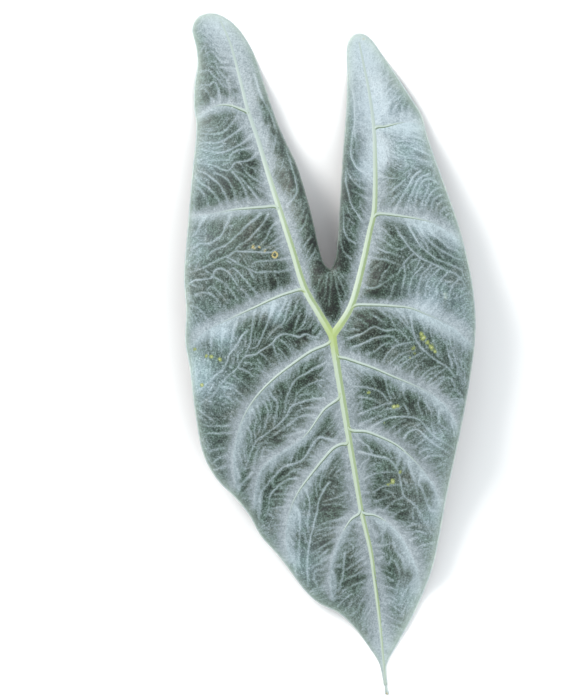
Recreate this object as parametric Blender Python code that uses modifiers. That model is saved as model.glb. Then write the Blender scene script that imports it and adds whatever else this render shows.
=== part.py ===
"""An alocasia leaf, picked with a length of its stalk and laid face up.

The arrow-shaped blade arches from its drip tip over the junction of its three ribs down to its
two hind lobes, and rests on those three ends. The stalk leaves the underside at the junction,
bends forward and comes down to the surface beneath the blade. Metres, +Z up, drip tip to -Y.
"""

import math

import bpy
import numpy as np
from mathutils import Vector
from mathutils.geometry import delaunay_2d_cdt

MM = 0.001

# Plan of the margin in millimetres from the junction of the ribs, +y towards the hind lobes.
DRIP_TIP = (36.5, -237.0)
RIGHT_MARGIN = (
    (36.2, -227.0), (36.0, -217.0), (44.0, -201.5), (52.0, -187.0), (61.0, -167.0),
    (67.0, -148.5), (75.7, -102.0), (83.0, -66.0), (89.5, -31.5), (93.5, 2.0),
    (92.5, 26.0), (89.0, 48.0), (83.0, 71.5), (74.5, 96.5), (67.0, 118.0),
    (62.5, 132.0), (59.0, 145.0), (51.0, 158.0), (41.5, 173.0), (32.5, 186.0),
)
RIGHT_LOBE_TIP = ((25.0, 196.0), (19.5, 199.0), (13.5, 197.5), (10.3, 192.0))
RIGHT_SINUS_EDGE = ((10.0, 170.0), (9.2, 147.0), (7.0, 118.5), (5.2, 89.0), (3.4, 62.0))
SINUS_BOTTOM = ((1.8, 49.0), (-1.4, 43.5), (-5.4, 47.0))
LEFT_SINUS_EDGE = (
    (-8.7, 57.0), (-12.5, 74.5), (-17.5, 93.5), (-23.5, 112.5), (-30.5, 127.5),
    (-37.2, 143.5), (-45.0, 167.0), (-52.8, 188.5),
)
LEFT_LOBE_TIP = ((-64.8, 205.5), (-78.0, 212.5), (-88.0, 210.0), (-92.0, 202.5))
LEFT_MARGIN = (
    (-89.5, 190.0), (-88.5, 179.0), (-90.5, 165.5), (-90.8, 151.0), (-89.2, 137.5),
    (-92.0, 103.5), (-95.5, 59.5), (-96.8, 37.5), (-95.3, 15.5), (-96.0, -4.0),
    (-93.0, -22.0), (-90.0, -47.5), (-85.5, -74.0), (-81.0, -85.5), (-74.5, -95.5),
    (-63.5, -106.5), (-54.5, -117.5), (-47.0, -131.0), (-34.0, -146.0), (-17.0, -168.5),
    (-8.5, -176.0), (4.5, -182.5), (14.5, -192.0), (24.0, -204.5), (31.2, -216.0),
    (34.0, -228.0),
)

# Courses of the three ribs, from the junction to the end of each lobe.
MIDRIB = (
    (0.0, 0.0), (4.0, -25.5), (8.0, -49.0), (10.8, -66.5), (14.3, -86.5), (19.0, -114.0),
    (22.4, -128.5), (25.4, -141.5), (27.7, -157.5), (29.8, -174.5), (31.8, -191.5),
    (33.4, -209.0), (35.3, -230.0),
)
LEFT_COSTA = (
    (0.0, 0.0), (-9.4, 15.8), (-17.7, 30.3), (-26.2, 56.7), (-34.8, 83.7), (-42.5, 108.0),
    (-48.8, 129.2), (-55.2, 147.9), (-61.3, 172.0), (-67.1, 193.0), (-73.3, 207.5),
)
RIGHT_COSTA = (
    (0.0, 0.0), (7.4, 10.5), (12.5, 19.8), (19.8, 46.1), (24.8, 69.2), (27.3, 80.0),
    (28.2, 96.0), (28.1, 122.5), (27.5, 137.0), (24.2, 162.0), (20.2, 182.0), (18.0, 193.0),
)

# Courses of the primary veins, from the rib that each one leaves to near the margin.
LEFT_VEINS = (
    ((-55.2, 146.5), (-60.0, 148.8), (-65.5, 151.0), (-72.0, 151.8), (-78.5, 150.0), (-87.0, 144.5)),
    ((-35.5, 84.2), (-45.0, 84.0), (-55.0, 83.3), (-64.0, 82.5), (-74.5, 80.5), (-89.0, 78.0)),
    ((-17.7, 30.3), (-28.0, 28.0), (-35.5, 25.4), (-51.0, 18.3), (-70.0, 9.5), (-81.0, 4.0),
     (-90.0, -3.5)),
    ((-1.5, -3.5), (-14.0, -10.3), (-27.0, -19.3), (-37.5, -27.5), (-44.2, -33.8), (-51.5, -42.3),
     (-57.0, -51.2), (-60.5, -59.5), (-63.5, -70.0), (-65.0, -83.0), (-63.5, -98.0)),
    ((6.8, -39.0), (-5.0, -48.0), (-17.0, -64.5), (-26.5, -72.0), (-39.0, -80.0),
     (-46.5, -87.5), (-50.0, -97.0), (-51.5, -112.0)),
    ((11.4, -70.5), (6.0, -71.0), (1.0, -73.5), (-6.0, -81.0), (-14.0, -91.0), (-22.0, -102.0),
     (-27.0, -112.5), (-30.5, -130.0), (-29.0, -145.0)),
    ((19.3, -115.5), (12.5, -120.5), (6.5, -130.0), (1.5, -142.0), (-1.5, -156.0), (-0.5, -172.0)),
)
RIGHT_VEINS = (
    ((27.3, 137.0), (34.0, 137.5), (43.0, 139.5), (50.5, 140.5), (56.5, 139.0)),
    ((27.2, 79.5), (46.0, 78.0), (58.0, 76.0), (68.0, 73.0), (80.0, 65.0)),
    ((13.0, 19.0), (24.0, 20.0), (38.5, 19.3), (50.5, 18.0), (61.0, 14.0), (71.0, 9.5),
     (80.0, 4.5), (89.0, -3.5)),
    ((2.5, -14.8), (15.5, -16.0), (26.5, -20.3), (39.0, -26.0), (54.5, -33.0), (67.0, -40.0),
     (77.5, -49.5), (82.0, -57.5)),
    ((10.2, -61.5), (22.0, -62.8), (31.0, -66.0), (42.0, -71.5), (51.0, -79.0), (60.5, -89.5),
     (67.0, -98.5), (71.0, -110.0)),
    ((19.5, -116.5), (28.0, -117.8), (37.5, -123.5), (45.0, -131.5), (51.0, -142.0),
     (56.0, -153.0), (58.0, -163.0)),
)

# Heights and thicknesses in millimetres.
BLADE_THICKNESS = 0.7
ARCH_HEIGHT = 46.0  # of the junction above the ends of the lobes
HIND_REACH = 212.0  # from the junction to where the arch comes down, hind lobes
FRONT_REACH = 236.0  # the same, drip tip
SETTLE = 2.6  # how far the three ends are pressed flat by lying on a surface
SETTLE_BLEND = 1.5
DROOP = 0.0013  # fall of the blade per square millimetre away from the ribs
TROUGH_DEPTH, TROUGH_WIDTH = 2.5, 14.0  # the channel that each rib lies in
QUILT_HEIGHT, QUILT_WIDTH = 1.7, 9.0  # how the blade swells between its veins
RELIEF_FADE = 9.0  # arch height under which that relief dies away
RIB_BLEND = 7.0  # how softly the surfaces of neighbouring ribs run together
EDGE_ROLL, EDGE_ROLL_WIDTH = 1.5, 4.0
WAVE_REACH = 17.0
WAVES = ((2.0, 83.0, 0.4), (1.0, 47.0, 2.0))  # height, length along the margin, phase
SWAY_HEIGHT, SWAY_ACROSS, SWAY_ALONG = 2.2, 150.0, 260.0

# Ribs and veins: half width, rise on the face and depth below the underside, root then end.
RIB_HALF_WIDTH, RIB_RISE, RIB_DEPTH = (3.0, 1.6), (0.9, 0.2), (3.6, 0.4)
VEIN_HALF_WIDTH, VEIN_RISE, VEIN_DEPTH = (1.8, 1.5), (0.5, 0.1), (1.7, 0.2)
BOSS_RADIUS, BOSS_THICKNESS = 4.8, 4.6  # where the three ribs and the stalk meet

# The stalk, in millimetres: straight under its seat, then a bend, then the run to its cut end.
STALK_TOP_RADIUS, STALK_END_RADIUS = 2.7, 3.6
STALK_SEAT_GAP = 0.3
STALK_END = (-17.0, -143.0)  # plan place of the cut end
STALK_DROP = 2.4  # length of the straight part
STALK_BEND_REACH, STALK_BEND_FALL = 12.0, 10.0
STALK_BEND = ((0.16, 0.42), (0.5, 0.76), (1.0, 1.0))  # shares of that reach and that fall
STALK_FALL_POWER = 1.6  # how the run flattens towards the cut end
STALK_RUN_POINTS = 4
STALK_STEP, STALK_BEND_STEP = 6.0, 2.0
STALK_ROUNDNESS = 4

# Spacing of the mesh, in millimetres.
MARGIN_STEP = 6.2
VEIN_STEP = 6.4
FILL_PITCH, FILL_CLEARANCE = 7.2, 4.5
FLANK_CLEARANCE = 1.3
EDGE_ROW_INSET, EDGE_ROW_CLEARANCE = 3.4, 2.7
CURVE_SAMPLES = 24  # between two named points of a curve
SAME_POINT = 1e-6

BLADE_COLOUR, BLADE_ROUGHNESS = (0.21, 0.28, 0.27), 0.5
STALK_COLOUR, STALK_ROUGHNESS = (0.16, 0.18, 0.08), 0.45


def smooth_path(points, step):
    """Points at equal steps along a centripetal Catmull-Rom curve through points."""
    p = np.array(points, float)
    p = np.vstack([2 * p[0] - p[1], p, 2 * p[-1] - p[-2]])
    dense = []
    for i in range(1, len(p) - 2):
        a, b, c, d = p[i - 1], p[i], p[i + 1], p[i + 2]
        ta = 0.0
        tb = ta + math.sqrt(np.linalg.norm(b - a))
        tc = tb + math.sqrt(np.linalg.norm(c - b))
        td = tc + math.sqrt(np.linalg.norm(d - c))
        t = np.linspace(tb, tc, CURVE_SAMPLES, endpoint=False)[:, None]
        ab = (tb - t) / (tb - ta) * a + (t - ta) / (tb - ta) * b
        bc = (tc - t) / (tc - tb) * b + (t - tb) / (tc - tb) * c
        cd = (td - t) / (td - tc) * c + (t - tc) / (td - tc) * d
        abc = (tc - t) / (tc - ta) * ab + (t - ta) / (tc - ta) * bc
        bcd = (td - t) / (td - tb) * bc + (t - tb) / (td - tb) * cd
        dense.append((tc - t) / (tc - tb) * abc + (t - tb) / (tc - tb) * bcd)
    dense = np.vstack([*dense, p[-2]])
    along = np.concatenate([[0.0], np.cumsum(np.linalg.norm(np.diff(dense, axis=0), axis=1))])
    count = max(2, round(along[-1] / step) + 1)
    stops = np.linspace(0.0, along[-1], count)
    return np.stack([np.interp(stops, along, dense[:, k]) for k in range(dense.shape[1])], axis=1)


def distance_to(path, points):
    """Distance of each point from a path, and how far along it the nearest place is."""
    a, b = path[:-1], path[1:]
    ab = b - a
    length = np.linalg.norm(ab, axis=1)
    start = np.concatenate([[0.0], np.cumsum(length)[:-1]])
    ap = points[:, None, :] - a[None]
    share = np.clip((ap * ab).sum(-1) / length**2, 0.0, 1.0)
    away = np.linalg.norm(ap - share[..., None] * ab, axis=-1)
    nearest = away.argmin(axis=1)
    row = np.arange(len(points))
    return away[row, nearest], start[nearest] + share[row, nearest] * length[nearest]


def inside(outline, points):
    """Whether each point lies inside the closed outline."""
    x, y = points[:, 0], points[:, 1]
    result = np.zeros(len(points), bool)
    for (xa, ya), (xb, yb) in zip(outline, np.roll(outline, -1, axis=0)):
        if ya == yb:
            continue
        crosses = (ya > y) != (yb > y)
        result ^= crosses & (x < (xb - xa) * (y - ya) / (yb - ya) + xa)
    return result


def smoothstep(value):
    value = np.clip(value, 0.0, 1.0)
    return value * value * (3.0 - 2.0 * value)


def margin_path(step):
    """The whole margin, from the drip tip up the right side and back down the left."""
    points = (
        DRIP_TIP, *RIGHT_MARGIN, *RIGHT_LOBE_TIP, *RIGHT_SINUS_EDGE, *SINUS_BOTTOM,
        *LEFT_SINUS_EDGE, *LEFT_LOBE_TIP, *LEFT_MARGIN, DRIP_TIP,
    )
    return smooth_path(points, step)


def rib_paths(step):
    return [smooth_path(rib, step) for rib in (MIDRIB, LEFT_COSTA, RIGHT_COSTA)]


def vein_paths(step, ribs):
    """The primary veins, each with its first point moved onto the nearest point of a rib."""
    on_ribs = np.vstack(ribs)
    paths = []
    for vein in (*LEFT_VEINS, *RIGHT_VEINS):
        path = smooth_path(vein, step)
        path[0] = on_ribs[np.linalg.norm(on_ribs - path[0], axis=1).argmin()]
        paths.append(path)
    return paths


def arch_height(points):
    """Height of the ribs' own arch, highest at the junction and nothing at the three ends."""
    y = points[:, 1]
    share = np.clip(np.where(y > 0, y / HIND_REACH, -y / FRONT_REACH), 0.0, 1.0)
    return ARCH_HEIGHT * 0.5 * (1.0 + np.cos(math.pi * share))


def sheet_height(points, margin, ribs, veins):
    """Height of the blade's face in millimetres, without its raised veins."""
    arch = arch_height(points)
    relief = smoothstep(arch / RELIEF_FADE)
    to_ribs = np.stack([distance_to(rib, points)[0] for rib in ribs])
    to_rib = -RIB_BLEND * np.log(np.exp(-to_ribs / RIB_BLEND).sum(axis=0))
    to_rib = np.maximum(to_rib, 0.0)
    to_vein = np.stack([distance_to(path, points)[0] for path in (*ribs, *veins)]).min(axis=0)
    to_edge, along_edge = distance_to(margin, points)
    trough = TROUGH_DEPTH * (1.0 - np.exp(-((to_rib / TROUGH_WIDTH) ** 2)))
    quilt = QUILT_HEIGHT * (1.0 - np.exp(-((to_vein / QUILT_WIDTH) ** 2)))
    wave = sum(h * np.sin(2 * math.pi * along_edge / long + phase) for h, long, phase in WAVES)
    edge = wave * np.exp(-to_edge / WAVE_REACH) - EDGE_ROLL * np.exp(-to_edge / EDGE_ROLL_WIDTH)
    sway = SWAY_HEIGHT * np.sin(2 * math.pi * (points[:, 0] / SWAY_ACROSS + points[:, 1] / SWAY_ALONG))
    height = arch - DROOP * to_rib**2 - SETTLE + relief * (trough + quilt + edge + sway)
    blended = (height + SETTLE_BLEND) ** 2 / (4 * SETTLE_BLEND)
    settled = np.where(height > SETTLE_BLEND, height, np.where(height < -SETTLE_BLEND, 0.0, blended))
    return BLADE_THICKNESS + settled


def raised(points, path, half_width, size):
    """What a rib or vein adds at each point: size at its crest, tapering root to end."""
    away, along = distance_to(path, points)
    share = along / along.max()
    width = half_width[0] + (half_width[1] - half_width[0]) * share
    full = size[0] + (size[1] - size[0]) * share
    return full * np.clip(1.0 - away / width, 0.0, 1.0)


def vein_relief(points, ribs, veins):
    """(rise on the face, depth below the underside) of the ribs and veins at each point."""
    rise, depth = np.zeros(len(points)), np.zeros(len(points))
    for rib in ribs:
        rise = np.maximum(rise, raised(points, rib, RIB_HALF_WIDTH, RIB_RISE))
        depth = np.maximum(depth, raised(points, rib, RIB_HALF_WIDTH, RIB_DEPTH))
    for vein in veins:
        rise = np.maximum(rise, raised(points, vein, VEIN_HALF_WIDTH, VEIN_RISE))
        depth = np.maximum(depth, raised(points, vein, VEIN_HALF_WIDTH, VEIN_DEPTH))
    fade = smoothstep(arch_height(points) / RELIEF_FADE)
    return rise * fade, depth * fade


def flanks(path, half_width):
    """Points on both sides of a vein, where its ridge meets the blade."""
    tangent = np.gradient(path, axis=0)
    tangent /= np.linalg.norm(tangent, axis=1)[:, None]
    normal = np.stack([-tangent[:, 1], tangent[:, 0]], axis=1)
    width = np.linspace(half_width[0], half_width[1], len(path))[:, None]
    return np.vstack([path + normal * width, path - normal * width])


def lattice(outline, pitch):
    """Evenly spaced points over the blade, in staggered rows."""
    low, high = outline.min(axis=0), outline.max(axis=0)
    rows = []
    for k, y in enumerate(np.arange(low[1], high[1], pitch * math.sqrt(0.75))):
        x = np.arange(low[0] + (k % 2) * pitch / 2, high[0], pitch)
        rows.append(np.stack([x, np.full(len(x), y)], axis=1))
    return np.vstack(rows)


def plan_mesh(margin, ribs, veins):
    """Points and triangles that fill the margin, with edges along every rib and vein."""
    points = [tuple(p) for p in margin[:-1]]
    edges = [(k, (k + 1) % len(points)) for k in range(len(points))]
    outline = np.array(points)
    index = {p: k for k, p in enumerate(points)}
    for path in (*ribs, *veins):
        places = [tuple(p) for p in path]
        for place in places:
            if place not in index:
                index[place] = len(points)
                points.append(place)
        edges += [(index[a], index[b]) for a, b in zip(places, places[1:])]

    side = outline - np.roll(outline, 1, axis=0)
    inward = np.stack([-side[:, 1], side[:, 0]], axis=1) / np.linalg.norm(side, axis=1)[:, None]
    groups = [(flanks(rib, RIB_HALF_WIDTH), FLANK_CLEARANCE) for rib in ribs]
    groups += [(flanks(vein, VEIN_HALF_WIDTH), FLANK_CLEARANCE) for vein in veins]
    groups.append((outline + EDGE_ROW_INSET * inward, EDGE_ROW_CLEARANCE))
    groups.append((lattice(outline, FILL_PITCH), FILL_CLEARANCE))
    for extra, clearance in groups:
        for place in extra[inside(outline, extra)]:
            if np.linalg.norm(np.array(points) - place, axis=1).min() >= clearance:
                points.append(tuple(place))

    loop = list(range(len(outline)))
    made = delaunay_2d_cdt([Vector(p) for p in points], edges, [loop], 1, SAME_POINT)
    return np.array([tuple(p) for p in made[0]]), [tuple(face) for face in made[2]]


def material(name, color, roughness):
    made = bpy.data.materials.new(name)
    made.use_nodes = True
    shader = made.node_tree.nodes["Principled BSDF"]
    shader.inputs["Base Color"].default_value = (*color, 1.0)
    shader.inputs["Roughness"].default_value = roughness
    shader.inputs["Metallic"].default_value = 0.0
    return made


def make_blade(collection, centre, finish):
    """The blade: its face as an open surface, given its thickness and its ribs by Solidify.

    Returns the height of the level seat that the stalk meets under the junction.
    """
    margin = margin_path(MARGIN_STEP)
    ribs = rib_paths(VEIN_STEP)
    veins = vein_paths(VEIN_STEP, ribs)
    plan, faces = plan_mesh(margin, ribs, veins)
    rise, depth = vein_relief(plan, ribs, veins)
    top = sheet_height(plan, margin, ribs, veins) + rise
    from_junction = np.linalg.norm(plan, axis=1)
    seat = top[from_junction.argmin()] - BOSS_THICKNESS
    thickness = np.minimum(BLADE_THICKNESS + rise + depth, top)
    at_boss = from_junction < BOSS_RADIUS
    thickness[at_boss] = top[at_boss] - seat

    mesh = bpy.data.meshes.new("blade")
    verts = [((x - centre[0]) * MM, (y - centre[1]) * MM, z * MM) for (x, y), z in zip(plan, top)]
    mesh.from_pydata(verts, [], faces)
    mesh.validate()
    blade = bpy.data.objects.new("blade", mesh)
    collection.objects.link(blade)
    mesh.materials.append(finish)
    mesh.shade_smooth()

    group = blade.vertex_groups.new(name="thickness")
    full = thickness.max()
    for k, value in enumerate(thickness):
        group.add([k], value / full, "REPLACE")
    solidify = blade.modifiers.new("thickness", "SOLIDIFY")
    solidify.thickness = full * MM
    solidify.offset = -1.0
    solidify.use_even_offset = False
    solidify.use_rim = True
    solidify.vertex_group = group.name
    solidify.thickness_vertex_group = 0.0
    return seat


def stalk_course(seat):
    """Centreline of the stalk in millimetres, from its seat under the blade to its cut end."""
    heading = np.array(STALK_END) / np.linalg.norm(STALK_END)
    run = np.linalg.norm(STALK_END) - STALK_BEND_REACH
    top = seat - STALK_SEAT_GAP
    bend_top = top - STALK_DROP
    run_top = bend_top - STALK_BEND_FALL
    head = [(0.0, 0.0, top), (0.0, 0.0, bend_top)]
    for reach_share, fall_share in STALK_BEND:
        place = heading * STALK_BEND_REACH * reach_share
        head.append((*place, bend_top - STALK_BEND_FALL * fall_share))
    tail = []
    for k in range(STALK_RUN_POINTS + 1):
        share = k / STALK_RUN_POINTS
        place = heading * (STALK_BEND_REACH + run * share)
        fall_left = (run_top - STALK_END_RADIUS) * (1.0 - share) ** STALK_FALL_POWER
        tail.append((*place, STALK_END_RADIUS + fall_left))
    head_path = smooth_path(head, STALK_BEND_STEP)
    # The first short length runs straight down, so that the flat end is level under its seat.
    head_path[1, :2] = head_path[0, :2]
    return np.vstack([head_path, smooth_path(tail, STALK_STEP)[1:]])


def make_stalk(collection, centre, seat, finish):
    """The stalk: a tapering round tube along its course, closed at both ends."""
    path = stalk_course(seat)
    along = np.concatenate([[0.0], np.cumsum(np.linalg.norm(np.diff(path, axis=0), axis=1))])
    curve = bpy.data.curves.new("petiole", "CURVE")
    curve.dimensions = "3D"
    curve.bevel_depth = MM
    curve.bevel_resolution = STALK_ROUNDNESS
    curve.use_fill_caps = True
    spline = curve.splines.new("POLY")
    spline.use_smooth = True
    spline.points.add(len(path) - 1)
    for point, (x, y, z), share in zip(spline.points, path, along / along[-1]):
        point.co = ((x - centre[0]) * MM, (y - centre[1]) * MM, z * MM, 1.0)
        point.radius = STALK_TOP_RADIUS + (STALK_END_RADIUS - STALK_TOP_RADIUS) * share
    stalk = bpy.data.objects.new("petiole", curve)
    collection.objects.link(stalk)
    curve.materials.append(finish)


def main():
    for old in list(bpy.data.objects):
        bpy.data.objects.remove(old)
    leaf = bpy.data.collections.new("alocasia_leaf")
    bpy.context.scene.collection.children.link(leaf)
    margin = margin_path(MARGIN_STEP)
    centre = (margin.min(axis=0) + margin.max(axis=0)) / 2
    seat = make_blade(leaf, centre, material("blade_green", BLADE_COLOUR, BLADE_ROUGHNESS))
    make_stalk(leaf, centre, seat, material("stalk_olive", STALK_COLOUR, STALK_ROUGHNESS))


main()
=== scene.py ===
"""The looks of an alocasia leaf that lies face up on a pale floor, seen from straight above.

Plan places are in millimetres from the junction of the ribs, +x to the right and +y towards the
hind lobes, as in the model's own outline. Heights are in millimetres above the floor.
"""

import math

import bpy
import numpy as np
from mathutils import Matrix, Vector, kdtree
from mathutils.geometry import delaunay_2d_cdt


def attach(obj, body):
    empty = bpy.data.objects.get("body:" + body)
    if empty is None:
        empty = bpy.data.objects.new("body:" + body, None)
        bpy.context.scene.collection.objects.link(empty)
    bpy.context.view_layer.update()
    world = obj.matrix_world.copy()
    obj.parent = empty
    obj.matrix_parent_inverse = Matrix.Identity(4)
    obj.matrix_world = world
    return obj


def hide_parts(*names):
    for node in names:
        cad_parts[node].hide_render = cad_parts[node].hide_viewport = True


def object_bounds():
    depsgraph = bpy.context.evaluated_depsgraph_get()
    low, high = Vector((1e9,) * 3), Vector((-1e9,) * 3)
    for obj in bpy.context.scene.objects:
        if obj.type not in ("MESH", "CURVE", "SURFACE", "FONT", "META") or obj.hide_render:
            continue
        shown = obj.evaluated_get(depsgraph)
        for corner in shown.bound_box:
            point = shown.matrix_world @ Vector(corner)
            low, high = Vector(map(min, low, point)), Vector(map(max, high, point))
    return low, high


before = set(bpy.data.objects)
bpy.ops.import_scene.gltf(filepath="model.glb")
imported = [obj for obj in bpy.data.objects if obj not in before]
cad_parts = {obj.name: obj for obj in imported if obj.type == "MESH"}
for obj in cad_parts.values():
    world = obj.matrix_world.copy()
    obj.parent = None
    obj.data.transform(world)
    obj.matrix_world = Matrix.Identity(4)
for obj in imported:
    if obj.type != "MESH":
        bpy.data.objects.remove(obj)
MODEL_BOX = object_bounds()
MM = 0.001
RANDOM = np.random.default_rng(27)

# The margin, from the drip tip up the right side, round the hind lobes and down the left side.
DRIP_TIP = (36.5, -237)
RIGHT_MARGIN = (
    (36.2, -227), (36, -217), (44, -201.5), (52, -187), (61, -167), (67, -148.5), (75.7, -102),
    (83, -66), (89.5, -31.5), (93.5, 2), (92.5, 26), (89, 48), (83, 71.5), (74.5, 96.5), (67, 118),
    (62.5, 132), (59, 145), (51, 158), (41.5, 173), (32.5, 186),
)
RIGHT_LOBE_TIP = ((25, 196), (19.5, 199), (13.5, 197.5), (10.3, 192))
RIGHT_SINUS_EDGE = ((10, 170), (9.2, 147), (7, 118.5), (5.2, 89), (3.4, 62))
SINUS_BOTTOM = ((1.8, 49), (-1.4, 43.5), (-5.4, 47))
LEFT_SINUS_EDGE = (
    (-8.7, 57), (-12.5, 74.5), (-17.5, 93.5), (-23.5, 112.5), (-30.5, 127.5), (-37.2, 143.5),
    (-45, 167), (-52.8, 188.5),
)
LEFT_LOBE_TIP = ((-64.8, 205.5), (-78, 212.5), (-88, 210), (-92, 202.5))
LEFT_MARGIN = (
    (-89.5, 190), (-88.5, 179), (-90.5, 165.5), (-90.8, 151), (-89.2, 137.5), (-92, 103.5),
    (-95.5, 59.5), (-96.8, 37.5), (-95.3, 15.5), (-96, -4), (-93, -22), (-90, -47.5), (-85.5, -74),
    (-81, -85.5), (-74.5, -95.5), (-63.5, -106.5), (-54.5, -117.5), (-47, -131), (-34, -146),
    (-17, -168.5), (-8.5, -176), (4.5, -182.5), (14.5, -192), (24, -204.5), (31.2, -216), (34, -228),
)
MARGIN = (
    DRIP_TIP, *RIGHT_MARGIN, *RIGHT_LOBE_TIP, *RIGHT_SINUS_EDGE, *SINUS_BOTTOM,
    *LEFT_SINUS_EDGE, *LEFT_LOBE_TIP, *LEFT_MARGIN, DRIP_TIP,
)

# Courses of the three ribs, from the junction to the end of each lobe.
MIDRIB = (
    (0, 0), (4, -25.5), (8, -49), (10.8, -66.5), (14.3, -86.5), (19, -114), (22.4, -128.5),
    (25.4, -141.5), (27.7, -157.5), (29.8, -174.5), (31.8, -191.5), (33.4, -209), (35.3, -230),
)
LEFT_COSTA = (
    (0, 0), (-9.4, 15.8), (-17.7, 30.3), (-26.2, 56.7), (-34.8, 83.7), (-42.5, 108), (-48.8, 129.2),
    (-55.2, 147.9), (-61.3, 172), (-67.1, 193), (-73.3, 207.5),
)
RIGHT_COSTA = (
    (0, 0), (7.4, 10.5), (12.5, 19.8), (19.8, 46.1), (24.8, 69.2), (27.3, 80), (28.2, 96),
    (28.1, 122.5), (27.5, 137), (24.2, 162), (20.2, 182), (18, 193),
)

RIB_COURSES = (MIDRIB, LEFT_COSTA, RIGHT_COSTA)

# Courses of the primary veins of each side, from the hind lobe down to the drip tip.
LEFT_VEINS = (
    ((-55.2, 146.5), (-60, 148.8), (-65.5, 151), (-72, 151.8), (-78.5, 150), (-87, 144.5)),
    ((-35.5, 84.2), (-45, 84), (-55, 83.3), (-64, 82.5), (-74.5, 80.5), (-89, 78)),
    ((-17.7, 30.3), (-28, 28), (-35.5, 25.4), (-51, 18.3), (-70, 9.5), (-81, 4), (-90, -3.5)),
    ((-1.5, -3.5), (-14, -10.3), (-27, -19.3), (-37.5, -27.5), (-44.2, -33.8), (-51.5, -42.3),
     (-57, -51.2), (-60.5, -59.5), (-63.5, -70), (-65, -83), (-63.5, -98)),
    ((6.8, -39), (-5, -48), (-17, -64.5), (-26.5, -72), (-39, -80), (-46.5, -87.5), (-50, -97),
     (-51.5, -112)),
    ((11.4, -70.5), (6, -71), (1, -73.5), (-6, -81), (-14, -91), (-22, -102), (-27, -112.5),
     (-30.5, -130), (-29, -145)),
    ((19.3, -115.5), (12.5, -120.5), (6.5, -130), (1.5, -142), (-1.5, -156), (-0.5, -172)),
)
RIGHT_VEINS = (
    ((27.3, 137), (34, 137.5), (43, 139.5), (50.5, 140.5), (56.5, 139)),
    ((27.2, 79.5), (46, 78), (58, 76), (68, 73), (80, 65)),
    ((13, 19), (24, 20), (38.5, 19.3), (50.5, 18), (61, 14), (71, 9.5), (80, 4.5), (89, -3.5)),
    ((2.3, -13.2), (8.5, -14.8), (15.5, -17.2), (26.5, -21), (39, -26.4), (54, -32.7), (66, -39),
     (75, -47), (80.5, -56)),
    ((10.2, -61.5), (22, -62.8), (31, -66), (42, -71.5), (51, -79), (60.5, -89.5), (67, -98.5),
     (71, -110)),
    ((19.5, -116.5), (28, -117.8), (37.5, -123.5), (45, -131.5), (51, -142), (56, -153), (58, -163)),
)

VEIN_COURSES = (*LEFT_VEINS, *RIGHT_VEINS)

# Courses of the veins midway between the primaries, which the fine veins run into. One lies in
# each panel of the blade: before the first primary, between each two, and after the last.
LEFT_MIDVEINS = (
    ((-61.5, 157), (-69.5, 165), (-76.5, 174), (-82, 184), (-84.5, 193.5), (-84.5, 203)),
    ((-46.5, 122.5), (-55, 116), (-63, 110.5), (-70.5, 109.5), (-80, 111.5), (-90, 114)),
    ((-24, 48), (-35, 50.5), (-47, 54), (-57.5, 55.5), (-64, 54.5), (-73.5, 50), (-84.5, 45), (-94, 42)),
    ((-7.5, 2.5), (-11, -1.5), (-17.5, 1), (-22.5, -1.5), (-26.5, 0.5), (-34, 0), (-39, -4),
     (-47.5, -9.5), (-55.5, -13), (-61.5, -20.5), (-67.5, -25.5), (-73, -31), (-79, -36.5),
     (-84.5, -40), (-90.5, -42)),
    ((1, -23), (-10, -26.5), (-20, -32.5), (-26.5, -41.5), (-30.5, -50), (-37, -59.5), (-45.5, -64),
     (-50.5, -69), (-53.5, -78.5), (-57.5, -87), (-59.5, -96), (-61, -105.5)),
    ((5.5, -66), (1, -68), (-8, -67), (-13.5, -74), (-19, -79), (-27, -83.5), (-34, -88.5), (-37, -95),
     (-42.5, -103.5), (-46.5, -111.5), (-49, -120)),
    ((14.5, -88.5), (7.5, -89), (0.5, -90.5), (-5.5, -94), (-9, -103), (-11.5, -111.5),
     (-13.5, -122.5), (-16, -132.5), (-16.5, -142.5), (-18.5, -153), (-21.5, -161)),
    ((18.5, -121), (15, -131), (12, -142), (11, -153), (12, -165), (15, -177), (18.5, -188), (24, -200)),
)
RIGHT_MIDVEINS = (
    ((28, 141), (33.5, 150.5), (32, 161), (29.5, 171.5), (25, 181), (21.5, 190)),
    ((28, 104), (37.5, 103), (45.5, 104), (52, 108), (58, 111.5), (65, 112.5), (71, 114)),
    ((24, 52), (31, 50), (37.5, 49.5), (44, 54), (50, 58), (53, 54.5), (56.5, 50.5), (65, 47.5),
     (75.5, 43.5), (83.5, 38.5), (89.5, 33)),
    ((5.5, -4.5), (11.5, -2), (21, 2), (27.5, 5.5), (31.5, 3.5), (39.5, 4), (45.5, 1.5), (50.5, -2),
     (56, -6.5), (60.5, -10.5), (70.5, -16.5), (75.5, -20.5), (80.5, -27), (85.5, -33.5)),
    ((6.5, -33), (13.5, -33), (23.5, -34), (31.5, -36.5), (37.5, -43), (44.5, -45), (50, -51.5),
     (56, -54.5), (62.5, -60.5), (69.5, -67), (78, -74), (83, -78.5)),
    ((12.5, -76.5), (18.5, -77), (29, -79.5), (35.5, -85), (36, -93.5), (39.5, -102), (46, -107),
     (49, -112.5), (52.5, -120.5), (57, -126), (63.5, -132)),
    ((20, -128), (25, -128.5), (31, -132), (34.5, -139.5), (36.5, -147.5), (39.5, -157.5),
     (42, -167.5), (44, -175.5), (45.5, -184.5)),
)
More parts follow.
